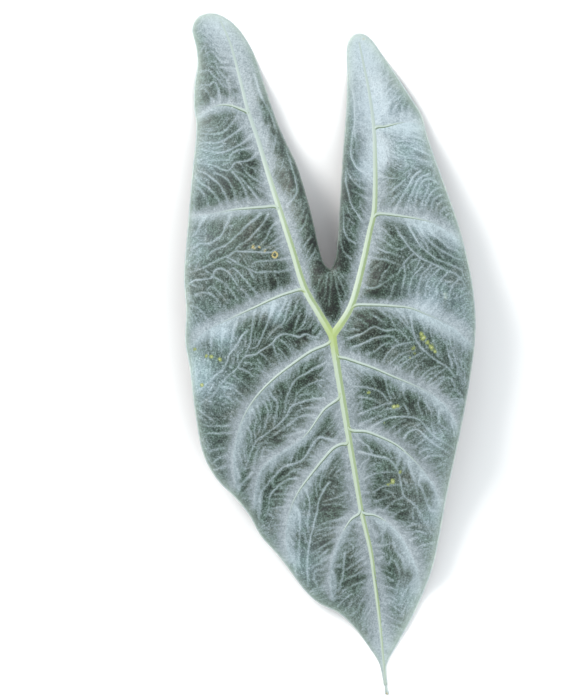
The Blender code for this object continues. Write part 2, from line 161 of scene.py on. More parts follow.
# The same in the two strips beside the sinus, from the junction to the end of each hind lobe.
LEFT_STRIP_VEIN = (
    (-5, 33.5), (-9, 49), (-12.5, 63.5), (-17, 80.5), (-22, 96), (-26, 114), (-33, 128), (-39, 139),
    (-46.5, 153.5), (-50.5, 165.5), (-56, 178), (-62, 190), (-69.5, 199.5),
)
RIGHT_STRIP_VEIN = (
    (3, 34.5), (5, 49), (8, 66), (7.5, 79.5), (8, 99), (9, 116), (10.5, 136), (12.5, 155.5),
    (14, 175.5), (15, 188.5),
)

# The blade's form in millimetres, as the model has it.
BLADE_THICKNESS = 0.7
ARCH_HEIGHT, HIND_REACH, FRONT_REACH = 46.0, 212.0, 236.0
SETTLE, SETTLE_BLEND = 2.6, 1.5
DROOP = 0.0013
TROUGH_DEPTH, TROUGH_WIDTH = 2.5, 14.0
QUILT_HEIGHT, QUILT_WIDTH = 1.7, 9.0
RELIEF_FADE = 9.0
RIB_BLEND = 7.0
EDGE_ROLL, EDGE_ROLL_WIDTH = 1.5, 4.0
WAVE_REACH = 17.0
WAVES = ((2.0, 83.0, 0.4), (1.0, 47.0, 2.0))
SWAY_HEIGHT, SWAY_ACROSS, SWAY_ALONG = 2.2, 150.0, 260.0
BRANCH_RUN, BRANCH_OUT = 4.5, 2.0
RIB_RISE, RIB_DEPTH = (0.9, 0.2), (3.6, 0.4)
VEIN_DEPTH = (1.7, 0.2)
BOSS_THICKNESS = 4.6
STALK_TOP_RADIUS, STALK_END_RADIUS = 2.7, 3.6
STALK_SEAT_GAP = 0.3
STALK_END = (-17.0, -143.0)
STALK_DROP = 2.4
STALK_BEND_REACH, STALK_BEND_FALL = 12.0, 10.0
STALK_BEND = ((0.16, 0.42), (0.5, 0.76), (1.0, 1.0))
STALK_FALL_POWER = 1.6
STALK_RUN_POINTS = 4
MODEL_MARGIN_STEP = 6.2

# Finer form that only the looks have, in millimetres.
RIB_HALF_WIDTH, VEIN_HALF_WIDTH = (2.8, 0.95), (1.35, 0.45)
PRIMARY_RISE = (0.8, 0.16)
# The share of each primary vein's length that stands out as a ridge, in the order of their courses.
# Beyond it the vein goes on as a fine one of this strength.
RIDGE_SHARES = (0.8, 0.9, 0.9, 0.8, 0.42, 0.8, 0.32, 0.7, 0.85, 0.85, 0.82, 0.78, 0.3)
OUTER_VEIN_STRENGTH = 0.5
UNDER_RIB_HALF_WIDTH, UNDER_VEIN_HALF_WIDTH = (2.7, 1.2), (1.5, 0.8)
FINE_QUILT_HEIGHT, FINE_QUILT_WIDTH = 0.16, 1.5
# How far from the margin, a rib or a primary vein the swelling between fine veins sets in.
FINE_QUILT_START = (1.0, 4.0)

# Spacing of the meshes, in millimetres, and how far from their border their inner points stay, as
# a share of it. The rows of an even lattice of triangles lie ROW_SHARE of its spacing apart.
FACE_PITCH, UNDERSIDE_PITCH, OUTLINE_STEP = 0.87, 2.6, 0.9
BORDER_SHARE, ROW_SHARE = 0.7, math.sqrt(0.75)
PATH_STEP, RIDGE_STEP, NET_STEP = 3.0, 1.0, 1.3
CURVE_SAMPLES = 24
SAME_POINT = 1e-6
CHUNK = 4096


def smooth_path(points, step):
    """Points at equal steps along a centripetal Catmull-Rom curve through points."""
    p = np.array(points, float)
    p = np.vstack([2 * p[0] - p[1], p, 2 * p[-1] - p[-2]])
    dense = []
    for i in range(1, len(p) - 2):
        a, b, c, d = p[i - 1], p[i], p[i + 1], p[i + 2]
        ta = 0.0
        tb = ta + math.sqrt(np.linalg.norm(b - a))
        tc = tb + math.sqrt(np.linalg.norm(c - b))
        td = tc + math.sqrt(np.linalg.norm(d - c))
        t = np.linspace(tb, tc, CURVE_SAMPLES, endpoint=False)[:, None]
        ab = (tb - t) / (tb - ta) * a + (t - ta) / (tb - ta) * b
        bc = (tc - t) / (tc - tb) * b + (t - tb) / (tc - tb) * c
        cd = (td - t) / (td - tc) * c + (t - tc) / (td - tc) * d
        abc = (tc - t) / (tc - ta) * ab + (t - ta) / (tc - ta) * bc
        bcd = (td - t) / (td - tb) * bc + (t - tb) / (td - tb) * cd
        dense.append((tc - t) / (tc - tb) * abc + (t - tb) / (tc - tb) * bcd)
    return resampled(np.vstack([*dense, p[-2]]), step)


def length_along(path):
    """How far along the path each of its points lies."""
    return np.concatenate([[0.0], np.cumsum(np.linalg.norm(np.diff(path, axis=0), axis=1))])


def resampled(path, step):
    """The same path with its points at equal steps."""
    along = length_along(path)
    stops = np.linspace(0.0, along[-1], max(2, round(along[-1] / step) + 1))
    return np.stack([np.interp(stops, along, path[:, k]) for k in range(path.shape[1])], axis=1)


def extended(path, before, after):
    """The path with a straight length added at each end."""
    first = path[0] + (path[0] - path[1]) / np.linalg.norm(path[0] - path[1]) * before
    last = path[-1] + (path[-1] - path[-2]) / np.linalg.norm(path[-1] - path[-2]) * after
    return np.vstack([first, path, last])


def normals_of(path):
    """Unit vectors to the left of a plan path, at each of its points."""
    tangent = np.gradient(path, axis=0)
    tangent /= np.linalg.norm(tangent, axis=1)[:, None]
    return np.stack([-tangent[:, 1], tangent[:, 0]], axis=1)


def project(path, points):
    """Distance of each point from a path, positive on its left, and how far along it that is."""
    start, side = path[:-1], np.diff(path, axis=0)
    length = np.linalg.norm(side, axis=1)
    before = length_along(path)[:-1]
    away, along = np.empty(len(points)), np.empty(len(points))
    for first in range(0, len(points), CHUNK):
        part = slice(first, first + CHUNK)
        offset = points[part, None] - start
        share = np.clip((offset * side).sum(-1) / length**2, 0.0, 1.0)
        offset -= share[..., None] * side
        squared = (offset**2).sum(-1)
        nearest = squared.argmin(axis=1)
        row = np.arange(len(nearest))
        gap, way = offset[row, nearest], side[nearest]
        left = np.where(way[:, 0] * gap[:, 1] - way[:, 1] * gap[:, 0] >= 0, 1.0, -1.0)
        away[part] = left * np.sqrt(squared[row, nearest])
        along[part] = before[nearest] + share[row, nearest] * length[nearest]
    return away, along


def inside(outline, points):
    """Whether each point lies inside the closed outline."""
    x, y = points[:, 0], points[:, 1]
    result = np.zeros(len(points), bool)
    for (xa, ya), (xb, yb) in zip(outline, np.roll(outline, -1, axis=0)):
        if ya != yb:
            crosses = (ya > y) != (yb > y)
            result ^= crosses & (x < (xb - xa) * (y - ya) / (yb - ya) + xa)
    return result


def smoothstep(low, high, value):
    """0 below low, 1 above high and smooth between."""
    share = np.clip((value - low) / (high - low), 0.0, 1.0)
    return share * share * (3.0 - 2.0 * share)


def between(ends, share):
    """The value that lies at share of the way between two ends."""
    return ends[0] + (ends[1] - ends[0]) * share


MARGIN_PATH = smooth_path(MARGIN, PATH_STEP)
RIBS = [smooth_path(rib, PATH_STEP) for rib in RIB_COURSES]
MODEL_MARGIN = smooth_path(MARGIN, MODEL_MARGIN_STEP)
PLAN_CENTRE = (MODEL_MARGIN.min(axis=0) + MODEL_MARGIN.max(axis=0)) / 2


def vein_path(vein, step):
    """A primary vein that branches off its rib in a short curve from the junction's side."""
    root = np.array([vein[0]])
    rib = min(RIBS, key=lambda path: abs(project(path, root)[0][0]))
    along, stations = project(rib, root)[1][0], length_along(rib)
    run = BRANCH_RUN * (1.0 - along / stations[-1])
    on_rib, before = (
        np.array([np.interp(place, stations, rib[:, k]) for k in (0, 1)])
        for place in (along, max(along - run, 0.0))
    )
    heading = (vein[1] - on_rib) / np.linalg.norm(vein[1] - on_rib)
    return smooth_path((before, on_rib + heading * BRANCH_OUT, *vein[1:]), step)


VEINS = [vein_path(vein, PATH_STEP) for vein in VEIN_COURSES]
RIB_LENGTHS, VEIN_LENGTHS = ([length_along(path)[-1] for path in paths] for paths in (RIBS, VEINS))
FRONT_SIDES = [1.0] * len(LEFT_VEINS) + [-1.0] * len(RIGHT_VEINS)


class Places:
    """Plan points, with how they lie to the ribs, the primary veins and the margin."""

    def __init__(self, points):
        self.points = np.asarray(points, float)
        ribs = [project(rib, self.points) for rib in RIBS]
        veins = [project(vein, self.points) for vein in VEINS]
        self.to_ribs = [np.abs(away) for away, _ in ribs]
        self.to_veins = [np.abs(away) for away, _ in veins]
        self.in_front = [away * side > 0.0 for (away, _), side in zip(veins, FRONT_SIDES)]
        self.share_of_ribs = [along / length for (_, along), length in zip(ribs, RIB_LENGTHS)]
        self.share_of_veins = [along / length for (_, along), length in zip(veins, VEIN_LENGTHS)]
        edge, self.along_edge = project(MARGIN_PATH, self.points)
        self.to_edge = np.abs(edge)
        self.to_vein = np.minimum.reduce([*self.to_ribs, *self.to_veins])

    def height(self):
        """Height of the blade's face, without its raised veins."""
        y = self.points[:, 1]
        share = np.clip(np.where(y > 0, y / HIND_REACH, -y / FRONT_REACH), 0.0, 1.0)
        arch = ARCH_HEIGHT * 0.5 * (1.0 + np.cos(math.pi * share))
        blend = sum(np.exp(-away / RIB_BLEND) for away in self.to_ribs)
        to_rib = np.maximum(-RIB_BLEND * np.log(blend), 0.0)
        trough = TROUGH_DEPTH * (1.0 - np.exp(-((to_rib / TROUGH_WIDTH) ** 2)))
        quilt = QUILT_HEIGHT * (1.0 - np.exp(-((self.to_vein / QUILT_WIDTH) ** 2)))
        turns = 2 * math.pi * self.along_edge
        wave = sum(high * np.sin(turns / long + phase) for high, long, phase in WAVES)
        roll = EDGE_ROLL * np.exp(-self.to_edge / EDGE_ROLL_WIDTH)
        edge = wave * np.exp(-self.to_edge / WAVE_REACH) - roll
        x_turn, y_turn = self.points[:, 0] / SWAY_ACROSS, y / SWAY_ALONG
        sway = SWAY_HEIGHT * np.sin(2 * math.pi * (x_turn + y_turn))
        relief = smoothstep(0.0, RELIEF_FADE, arch) * (trough + quilt + edge + sway)
        height = arch - DROOP * to_rib**2 - SETTLE + relief
        blended = (height + SETTLE_BLEND) ** 2 / (4 * SETTLE_BLEND)
        pressed = np.where(height < -SETTLE_BLEND, 0.0, blended)
        return BLADE_THICKNESS + np.where(height > SETTLE_BLEND, height, pressed)


def face_height(points):
    """Height of the blade's face at plan points."""
    return Places(points).height()


# How fine veins lean back towards the rib: how far near the midvein, over what reach, and how much
# more for each millimetre beyond.
HIND_LEAN, FRONT_LEAN = (10.0, 8.0, 0.7), (9.0, 9.0, 0.15)
WIDE_HIND_LEAN, STEEP_HIND_LEAN, OUTWARD_LEAN = (10.0, 8.0, 1.5), (5.0, 8.0, 1.0), (0.0, 8.0, -0.8)
TIP_RIB_LEAN, TIP_OUTER_LEAN = (3.0, 6.0, 0.9), (0.0, 8.0, -0.5)
STRIP_COSTA_LEAN, STRIP_SINUS_LEAN = (2.0, 6.0, 1.0), (6.0, 6.0, 0.8)
# How far apart the fine veins lie, how strong they are in the strips beside the sinus, and how
# clearly the hair-like streaks show there and at the tips of the hind lobes.
PANEL_SPACING, STRIP_SPACING = 6.0, 11.0
STRIP_STRENGTH = 0.7
STRIP_STREAKS, TIP_STREAKS = 0.3, 0.3
# How far the borders of the panels run on past the veins' ends, and then outwards.
BORDER_BEYOND, OUTWARD = 40.0, 60.0
# Where the borders of the two strips meet beyond the lobes, and the outer end of each.
STRIPS_PART, LEFT_STRIP_END, RIGHT_STRIP_END = (-15.0, 240.0), (-70.0, 240.0), (30.0, 240.0)
# The sideways wander of a fine vein, as (width, length) of its slow and of its quick bends.
WANDER = ((0.75, 7.0), (0.2, 2.4))


def wandering(path, share=1.0):
    """The path with a share of a grown vein's slow and quick sideways wander, from a fixed start."""
    along = length_along(path)
    offset = np.zeros(len(path))
    for width, length in WANDER:
        knots = np.arange(0.0, along[-1] + length, length)
        sideways = RANDOM.normal(0.0, share * width, len(knots))
        sideways[0] = 0.0
        offset += np.interp(along, knots, sideways)
    return path + offset[:, None] * normals_of(path)


class Panel:
    """One field of the blade between two primary veins, with the vein midway that drains it."""

    REACH, AXIS_BEYOND = 45.0, 30.0
    SMOOTHING = 9

    def __init__(self, outline, midvein, leans, spacing=PANEL_SPACING, strength=1.0, streaks=1.0):
        """leans holds the lean of the fine veins on the left of the midvein, then on its right."""
        self.outline = outline
        self.leans = dict(zip((1.0, -1.0), leans))
        self.spacing, self.strength, self.streaks = spacing, strength, streaks
        self.midvein = wandering(smooth_path(midvein, NET_STEP))
        middle = self.smoothed(resampled(np.array(midvein, float), PATH_STEP))
        self.axis = resampled(extended(middle, self.AXIS_BEYOND, self.AXIS_BEYOND), PATH_STEP)
        self.along = length_along(self.axis)
        self.normals = normals_of(self.axis)
        self.wander, self.wander_along = project(self.axis, self.midvein)

    def smoothed(self, path):
        """The path with its small zigzags averaged out and its two ends kept."""
        result = path.copy()
        for _ in range(self.SMOOTHING):
            result[1:-1] = 0.5 * result[1:-1] + 0.25 * (result[:-2] + result[2:])
        return result

    def lean(self, away, side):
        """How far back towards the rib a fine vein lies at that distance from the midvein."""
        near, reach, beyond = self.leans[side]
        return near * (1.0 - np.exp(-away / reach)) + beyond * away

    def flow(self, points):
        """(phase, away): phase is the same all along a fine vein, away is from the midvein."""
        away, along = project(self.axis, points)
        left, right = (self.lean(np.abs(away), side) for side in (1.0, -1.0))
        return along + np.where(away > 0.0, left, right), away

    def fine_vein(self, phase, side, steepness):
        """The course of the fine vein of that phase on one side, from the midvein outwards."""
        meets = np.interp(phase, self.wander_along, self.wander) * side
        away = np.arange(max(meets, 0.0), self.REACH, NET_STEP)
        along = phase - self.lean(away, side) * steepness
        away, along = away[along > 0.0], along[along > 0.0]
        base = np.stack([np.interp(along, self.along, self.axis[:, k]) for k in (0, 1)], axis=1)
        normal = np.stack([np.interp(along, self.along, self.normals[:, k]) for k in (0, 1)], axis=1)
        return base + side * away[:, None] * normal


def panels_of(chain, veins, midveins, outward, leans):
    """The panels along one side. chain runs down the ribs, from the hind lobe to the drip tip."""
    roots = [0, *(np.linalg.norm(chain - vein[0], axis=1).argmin() for vein in veins), len(chain) - 1]
    first, last = (extended(end, 0.0, BORDER_BEYOND)[1:] for end in (chain[1::-1], chain[-2:]))
    reaches = [first, *(extended(vein, 0.0, BORDER_BEYOND) for vein in veins), last]
    panels = []
    for k, midvein in enumerate(midveins):
        upper, lower = reaches[k], reaches[k + 1]
        rib = chain[roots[k]:roots[k + 1] + 1]
        far = (upper[-1] + lower[-1]) / 2 + outward
        panel = Panel(np.vstack([rib, lower, far, upper[::-1]]), midvein, leans[k])
        if k == 0:
            panel.streaks = TIP_STREAKS
        panels.append(panel)
    return panels


def all_panels():
    """The panels of the left side, of the right side and of the two strips beside the sinus."""
    midrib, left_costa, right_costa = RIBS
    left_chain = np.vstack([left_costa[::-1], midrib[1:]])
    right_chain = np.vstack([right_costa[::-1], midrib[1:]])
    left, right = VEINS[:len(LEFT_VEINS)], VEINS[len(LEFT_VEINS):]
    leans = [(FRONT_LEAN, HIND_LEAN) for _ in LEFT_MIDVEINS]
    leans[1], leans[-1] = (FRONT_LEAN, WIDE_HIND_LEAN), (TIP_RIB_LEAN, TIP_OUTER_LEAN)
    panels = panels_of(left_chain, left, LEFT_MIDVEINS, np.array([-OUTWARD, 0.0]), leans)
    leans = [(HIND_LEAN, FRONT_LEAN) for _ in RIGHT_MIDVEINS]
    leans[:2] = (HIND_LEAN, OUTWARD_LEAN), (STEEP_HIND_LEAN, FRONT_LEAN)
    panels += panels_of(right_chain, right, RIGHT_MIDVEINS, np.array([OUTWARD, 0.0]), leans)
    for costa, end, midvein, leans in (
        (left_costa, LEFT_STRIP_END, LEFT_STRIP_VEIN, (STRIP_COSTA_LEAN, STRIP_SINUS_LEAN)),
        (right_costa, RIGHT_STRIP_END, RIGHT_STRIP_VEIN, (STRIP_SINUS_LEAN, STRIP_COSTA_LEAN)),
    ):
        outline = np.vstack([costa, end, STRIPS_PART, SINUS_BOTTOM[1]])
        panels.append(Panel(outline, midvein, leans, STRIP_SPACING, STRIP_STRENGTH, STRIP_STREAKS))
    return panels


PANELS = all_panels()


def panel_of(points):
    """The number of the panel that each point lies in, or of the nearest midvein's."""
    number = np.full(len(points), -1)
    for k, panel in enumerate(PANELS):
        number[(number < 0) & inside(panel.outline, points)] = k
    lost = np.flatnonzero(number < 0)
    if len(lost):
        away = [np.abs(project(panel.axis, points[lost])[0]) for panel in PANELS]
        number[lost] = np.argmin(away, axis=0)
    return number


# The net of fine veins. A vein of strength 1 has this half width and rise, in millimetres.
NET_HALF_WIDTH, NET_RISE, NET_SINK, NET_TAPER = 0.62, 0.17, 0.05, 0.4
# A drawn vein is the stronger the longer it is, up to LONG_VEIN. Those of the fan are weaker.
DRAWN_STRENGTH, LONG_VEIN, FAN_SHARE, DRAWN_WANDER = (0.65, 1.0), 40.0, 0.7, 0.35
LOBE_MIDVEIN_STRENGTH = 0.6
MAIN_STRENGTH, FORK_SHARE = (0.45, 0.85), 0.85
LINK_STRENGTH, HAIR_STRENGTH = (0.25, 0.45), (0.2, 0.38)
# Where the first vein of a family lies, in spacings, and how far the next ones stray.
FIRST_PLACE, SPACING_JITTER, LEAN_JITTER = (0.2, 0.9), 0.42, 0.28
# The fewest points that a vein and a link may have.
FEWEST_POINTS, FEWEST_LINK_POINTS = 4, 3
# How many links join two neighbours, by how many points their ends are shifted, how far they
# bend and how long they may be.
LINKS_BETWEEN, LINK_SHIFT, LINK_BEND, LONGEST_LINK = (1, 4), (-3, 4), 0.6, 12.0
# A fork leaves within so many points of its vein's root and bends away to a share of the spacing.
FORK_CHANCE, FORK_AGAIN, FORK_PLACES, FORK_SPREAD, FORK_REACH = 0.6, 0.3, (1, 8), (0.24, 0.44), 5.5
HAIRS_BETWEEN, HAIR_POINTS, HAIR_ROOM = 4, (4, 9), 2
# A vein's strength changes from bead to bead, each so many points long.
BEAD_POINTS, BEAD_SHARES = 5, (0.75, 1.1)
# How clear the grown veins stay of the ribs and primary veins, of the drawn ones and of the margin.
NET_TO_VEIN, NET_TO_DRAWN, NET_TO_EDGE = 1.4, 1.6, 1.6
# How far beyond its midvein's end a family still grows, as its veins lean back.
PHASE_BEYOND = 40.0

# The few veins that fan out from the bottom of the sinus towards the junction.
SINUS_FAN = (
    ((-4.1, 40), (-5.5, 36), (-7.5, 32), (-8.5, 29)),
    ((-2.8, 41), (-3.8, 34.5), (-4.8, 29), (-6, 24)),
    ((-1.1, 41.5), (-1.1, 34.5), (-1.8, 26), (-2.1, 19)),
    ((0.9, 42), (1.9, 36), (3, 29), (4.6, 23), (5.9, 18.5)),
    ((1.9, 42.7), (4.3, 36.6), (7.3, 30.6), (8.6, 26)),
    ((3.3, 45.4), (5.6, 40), (9.7, 34.6), (11.3, 32)),
)

# The veins that stand out in the two strips beside the sinus, right strip first.
STRIP_VEINS = (
    ((23.3, 106.8), (16.9, 109.4), (14.5, 113.6), (12.7, 118.6), (13, 126.3), (14, 134.8),
     (15.5, 142.1), (15.2, 148.9)),
    ((22.5, 95.8), (16.7, 97.8), (11.7, 104.4), (9, 112.7)),
    ((24.6, 88.7), (20.6, 91), (13, 95)),
    ((19.2, 74.9), (13, 84.9), (10.4, 93.5), (8.9, 100.1), (8.9, 112.7)),
    ((14, 73.1), (8.7, 76.8)),
    ((15, 60.2), (9.7, 63.5), (7.6, 68.9), (7.3, 79), (7, 83)),
    ((12.3, 50.1), (7.6, 54.8), (5.6, 60.2), (4.9, 65.6)),
    ((-29.5, 84.6), (-22.8, 94.4), (-24.1, 102.1), (-26.2, 110.5), (-28.8, 118.9), (-31.8, 129)),
    ((-51, 172), (-47.5, 160), (-43.5, 152), (-40.4, 146), (-38.1, 139.2), (-36.5, 133.5)),
    ((-21.3, 68.3), (-17.9, 73), (-16.2, 79)),
    ((-18.6, 57.5), (-14.6, 62.9), (-11.9, 64.8)),
    ((-15.2, 49.4), (-11.9, 54.1), (-10.5, 57.5)),
)

# The fine veins that show best on the left and on the right half. Each thins towards its last point.
LEFT_FINE_VEINS = (
    ((-62, 144), (-66, 139), (-70, 135), (-75, 132.5), (-81, 132), (-87, 133)),
    ((-56.5, 139), (-61, 135), (-66, 131), (-72.5, 127), (-78, 126), (-86.5, 127)),
    ((-53.5, 131), (-57, 128), (-62.5, 124.5), (-68.5, 121.5), (-74, 120), (-82.5, 121.5), (-88, 122.5)),
    ((-52, 123.5), (-56.5, 122.5), (-62.5, 121), (-66, 118.5), (-67.5, 115), (-74, 115), (-82.5, 115)),
    ((-49.5, 120), (-52.5, 116.5), (-56.5, 114.5), (-64, 113), (-67.5, 108.5), (-72, 109.5),
     (-77.5, 111.5), (-87.5, 113.5)),
    ((-60, 113.5), (-58.5, 110.5), (-55, 105.5), (-51, 102), (-47, 100), (-43, 99.5)),
    ((-65.5, 107.5), (-62, 103), (-59, 98.5), (-56.5, 93.5), (-54.5, 87.5)),
    ((-60, 103.5), (-55.5, 98.5), (-51, 92.5), (-47.5, 87.5)),
    ((-77.5, 106.5), (-72.5, 105), (-68.5, 102), (-65.5, 96.5), (-63, 88)),
    ((-87.5, 108), (-83, 106.5), (-78.5, 103), (-73.5, 98.5), (-70.5, 93), (-67.5, 85.5)),
    ((-90, 104.5), (-86, 100), (-80.5, 96), (-76.5, 91.5), (-73.5, 85.5)),
    ((-91, 99), (-87, 96.5), (-83.5, 92.5), (-81, 85.5)),
    ((-83.5, 77), (-86, 72.5), (-88.5, 68), (-91, 65.5)),
    ((-66.5, 78.5), (-68, 75), (-70, 71), (-72, 66.5), (-75.5, 63), (-80.5, 60), (-86.5, 60),
     (-92.5, 56)),
    ((-47, 79.5), (-51, 75.5), (-55, 72.5), (-58.5, 69), (-63, 65), (-69, 59.5), (-77.5, 55.5),
     (-83.5, 49.5)),
    ((-42, 79), (-44, 75), (-50.5, 67.5), (-54.5, 63.5), (-61.5, 58.5), (-64, 55.5)),
    ((-35, 75), (-38.5, 72), (-41.5, 68), (-43.5, 63.5), (-49.5, 58), (-56, 55)),
    ((-33, 58), (-40.5, 54.5), (-51, 54.5), (-63, 55), (-66.5, 53), (-76, 49), (-84, 44.5), (-92, 41.5)),
    ((-68.5, 51), (-64, 48.5), (-59.5, 45.5), (-55, 43), (-52.5, 40), (-50, 36.5)),
    ((-54.5, 43), (-49, 41.5), (-42, 42), (-34.5, 42), (-27.5, 44)),
    ((-52, 47), (-48, 49), (-42, 49), (-34.5, 49.5), (-29, 51)),
    ((-40.5, 60), (-37, 62.5), (-33, 65)),
    ((-93.5, 34), (-90, 36), (-85.5, 36.5), (-78, 38.5), (-77.5, 41.5), (-73.5, 44), (-68.5, 41.5),
     (-65, 37.5), (-61.5, 32.5), (-57.5, 28.5), (-53, 21.5)),
    ((-78, 38.5), (-71, 34.5), (-68, 31.5), (-65, 27.5), (-62.5, 24)),
    ((-67.5, 42.5), (-65.5, 44), (-62, 42), (-59, 39), (-52.5, 31.5), (-48.5, 26)),
    ((-81.5, 30), (-79, 32), (-74.5, 28.5), (-71, 25), (-69, 21.5)),
    ((-89.5, 26.5), (-85, 28), (-81, 28), (-78, 26), (-75.5, 23), (-73.5, 19.5)),
    ((-92.5, 19.5), (-89, 18.5), (-85, 15), (-81.5, 10)),
    ((-38, 22), (-39.5, 16.5), (-42, 9), (-45, 2), (-49, -6.5), (-51, -8), (-54, -7.5)),
    ((-50.5, 15.5), (-52, 7.5), (-54, -5), (-57, -13)),
    ((-44, 18), (-46, 13.5), (-47.5, 9), (-48.5, 4)),
    ((-55, 3.5), (-58.5, 0), (-61.5, -5), (-67, -12.5), (-70.5, -21), (-78.5, -27.5), (-85, -34),
     (-88.5, -36)),
    ((-63, 9), (-64, 3.5), (-65.5, -3), (-67, -12)),
    ((-71, 3.5), (-72, -3), (-72.5, -10.5)),
    ((-78, 3), (-78.5, -4), (-79, -11)),
    ((-7.5, 2.5), (-11, -1.5), (-17.5, 1), (-22, -1), (-25.5, 0), (-33, 0.5), (-36.5, -2), (-39, -5),
     (-46.5, -9.5), (-50, -12), (-57, -14), (-62, -21), (-70, -28), (-75.5, -36), (-79, -40),
     (-86, -44)),
    ((-39, -5.5), (-37, -10), (-35.5, -15), (-34, -19)),
    ((-47, -11.5), (-44, -14), (-41.5, -17), (-39.5, -19.5)),
    ((-49, -15.5), (-46, -19), (-43.5, -22.5)),
    ((-61.5, -21), (-57, -23), (-53.5, -25), (-51, -28), (-49.5, -31)),
    ((-64.5, -26), (-61, -28.5), (-57.5, -31.5), (-53, -35)),
    ((-71.5, -33.5), (-67, -33), (-63, -34.5), (-60.5, -37.5), (-57.5, -41)),
    ((-73.5, -40.5), (-71, -39.5), (-67, -41), (-64, -45)),
    ((-30, 23), (-32.5, 18), (-35.5, 11.5), (-38.5, 6.5)),
    ((-27, 23), (-29, 18), (-30.5, 13), (-32.5, 8), (-38, 3.5), (-43.5, -2)),
    ((-23, 22), (-25, 15), (-28, 10.5), (-30, 7)),
    ((-22, 12.5), (-24, 7.5), (-25.5, 1.5)),
    ((-4, -17), (-8.5, -20.5), (-13, -22), (-17.5, -24.5), (-24.5, -29.5), (-28.5, -37.5),
     (-30, -41.5), (-31.5, -50)),
    ((-5, -29), (-10, -30), (-16, -32.5), (-23, -37.5), (-24, -40.5), (-24.5, -43.5)),
    ((-5.5, -41), (-12.5, -41.5), (-18.5, -43), (-26.5, -46.5), (-30.5, -53.5), (-39, -61.5),
     (-48.5, -68), (-53, -75.5), (-57, -87)),
    ((-7, -47.5), (-12, -47), (-18.5, -47.5), (-22, -49), (-24.5, -52)),
    ((-11, -53), (-16, -52.5), (-24, -54), (-29.5, -59), (-36, -63.5), (-39.5, -66.5)),
    ((-18.5, -62.5), (-24, -63.5), (-29.5, -65.5), (-34, -67)),
    ((-40.5, -37), (-38.5, -40.5), (-36, -42.5), (-36, -46.5), (-38, -56.5), (-38.5, -61)),
    ((-34.5, -35.5), (-34, -38.5), (-36, -42.5)),
    ((-42.5, -39.5), (-40.5, -44.5), (-40, -48.5)),
    ((-45, -43), (-42.5, -47), (-42, -51), (-43.5, -58), (-46, -63.5)),
    ((-49, -46), (-47.5, -50.5), (-46.5, -54)),
    ((-52, -48.5), (-50.5, -52.5), (-50, -57), (-50.5, -62.5), (-50, -66.5)),
    ((-55.5, -59.5), (-53.5, -63.5), (-53, -67.5), (-54, -72)),
    ((-52.5, -89.5), (-55.5, -94), (-60, -98.5), (-62.5, -106)),
    ((-47.5, -72.5), (-49.5, -77), (-51, -82.5), (-52, -88)),
    ((-44, -73), (-46, -76.5), (-46, -81.5)),
    ((-67, -58.5), (-73, -59), (-83, -58.5)),
    ((-67.5, -63.5), (-74, -64), (-81.5, -64.5), (-85.5, -70)),
    ((-70, -73.5), (-76.5, -74.5), (-81.5, -77)),
    ((-69.5, -78), (-74, -80.5), (-78.5, -84)),
    ((-70.5, -85.5), (-74, -87), (-77.5, -88.5)),
    ((1.5, -68.5), (-4, -67), (-8.5, -66.5), (-15, -75), (-19.5, -81), (-29.5, -85), (-32.5, -86.5),
     (-39, -93), (-44.5, -100), (-46.5, -103), (-47.5, -115.5), (-47.5, -120.5)),
    ((-17, -88.5), (-22, -87.5), (-26.5, -89), (-33.5, -93.5)),
    ((-23.5, -93.5), (-28.5, -94), (-35.5, -99), (-40.5, -104.5), (-42, -114), (-43, -118.5)),
    ((-39.5, -93), (-38.5, -97.5), (-37.5, -100)),
    ((-27, -104), (-34, -103.5), (-38, -104)),
    ((-28.5, -107.5), (-35.5, -107), (-40.5, -107.5)),
    ((-29.5, -111.5), (-35.5, -112.5), (-41, -113.5)),
    ((-1.5, -96), (-4.5, -99), (-8, -107), (-9.5, -112), (-12.5, -126), (-15, -137), (-16, -150.5),
     (-16, -164.5)),
    ((9.5, -102.5), (3.5, -105.5), (-1.5, -107), (-7.5, -109)),
    ((9.5, -119), (3, -120.5), (-3, -122), (-8, -124), (-11.5, -126.5)),
    ((5, -128), (-0.5, -129), (-5, -131.5), (-9.5, -133.5)),
    ((1, -134), (-4, -137), (-9, -140), (-13.5, -143)),
    ((-3, -140.5), (-7, -143.5), (-11, -146.5)),
    ((-4, -147), (-9, -150), (-15, -153)),
    ((-6, -153.5), (-10, -154), (-12, -156.5), (-11.5, -160.5), (-10, -163.5)),
    ((-17, -101), (-15.5, -107.5), (-15, -114), (-16, -125), (-15, -130)),
    ((-24, -112.5), (-21.5, -117), (-21, -123), (-21.5, -138), (-21.5, -152)),
    ((8.5, -142), (7.5, -155), (4.5, -168)),
    ((19, -136), (13.5, -139.5), (9.5, -142.5)),
    ((21, -145.5), (15.5, -149.5), (9.5, -153.5)),
    ((20.5, -154), (15, -157.5), (7.5, -160)),
    ((21, -161.5), (14, -164), (6.5, -167.5)),
    ((0, -154.5), (2, -159), (2.5, -164.5), (2, -169.5)),
    ((-69, 180.5), (-73, 180.5), (-75.5, 183.5), (-79, 187.5), (-82.5, 187), (-85.5, 185)),
    ((-68.5, 169), (-71.5, 171), (-75, 175.5), (-77, 180.5), (-81, 180.5), (-84.5, 179.5)),
    ((-71.5, 164), (-75, 168.5), (-78, 171), (-80.5, 174.5), (-84, 174.5), (-87, 172.5)),
    ((-74, 156.5), (-75, 163.5), (-77, 167), (-80.5, 165), (-85.5, 165), (-88.5, 162.5)),
    ((-78.5, 154), (-81, 159), (-83.5, 162.5), (-87, 162.5)),
    ((-67, 157.5), (-67.5, 164.5), (-69, 168), (-66, 171)),
)
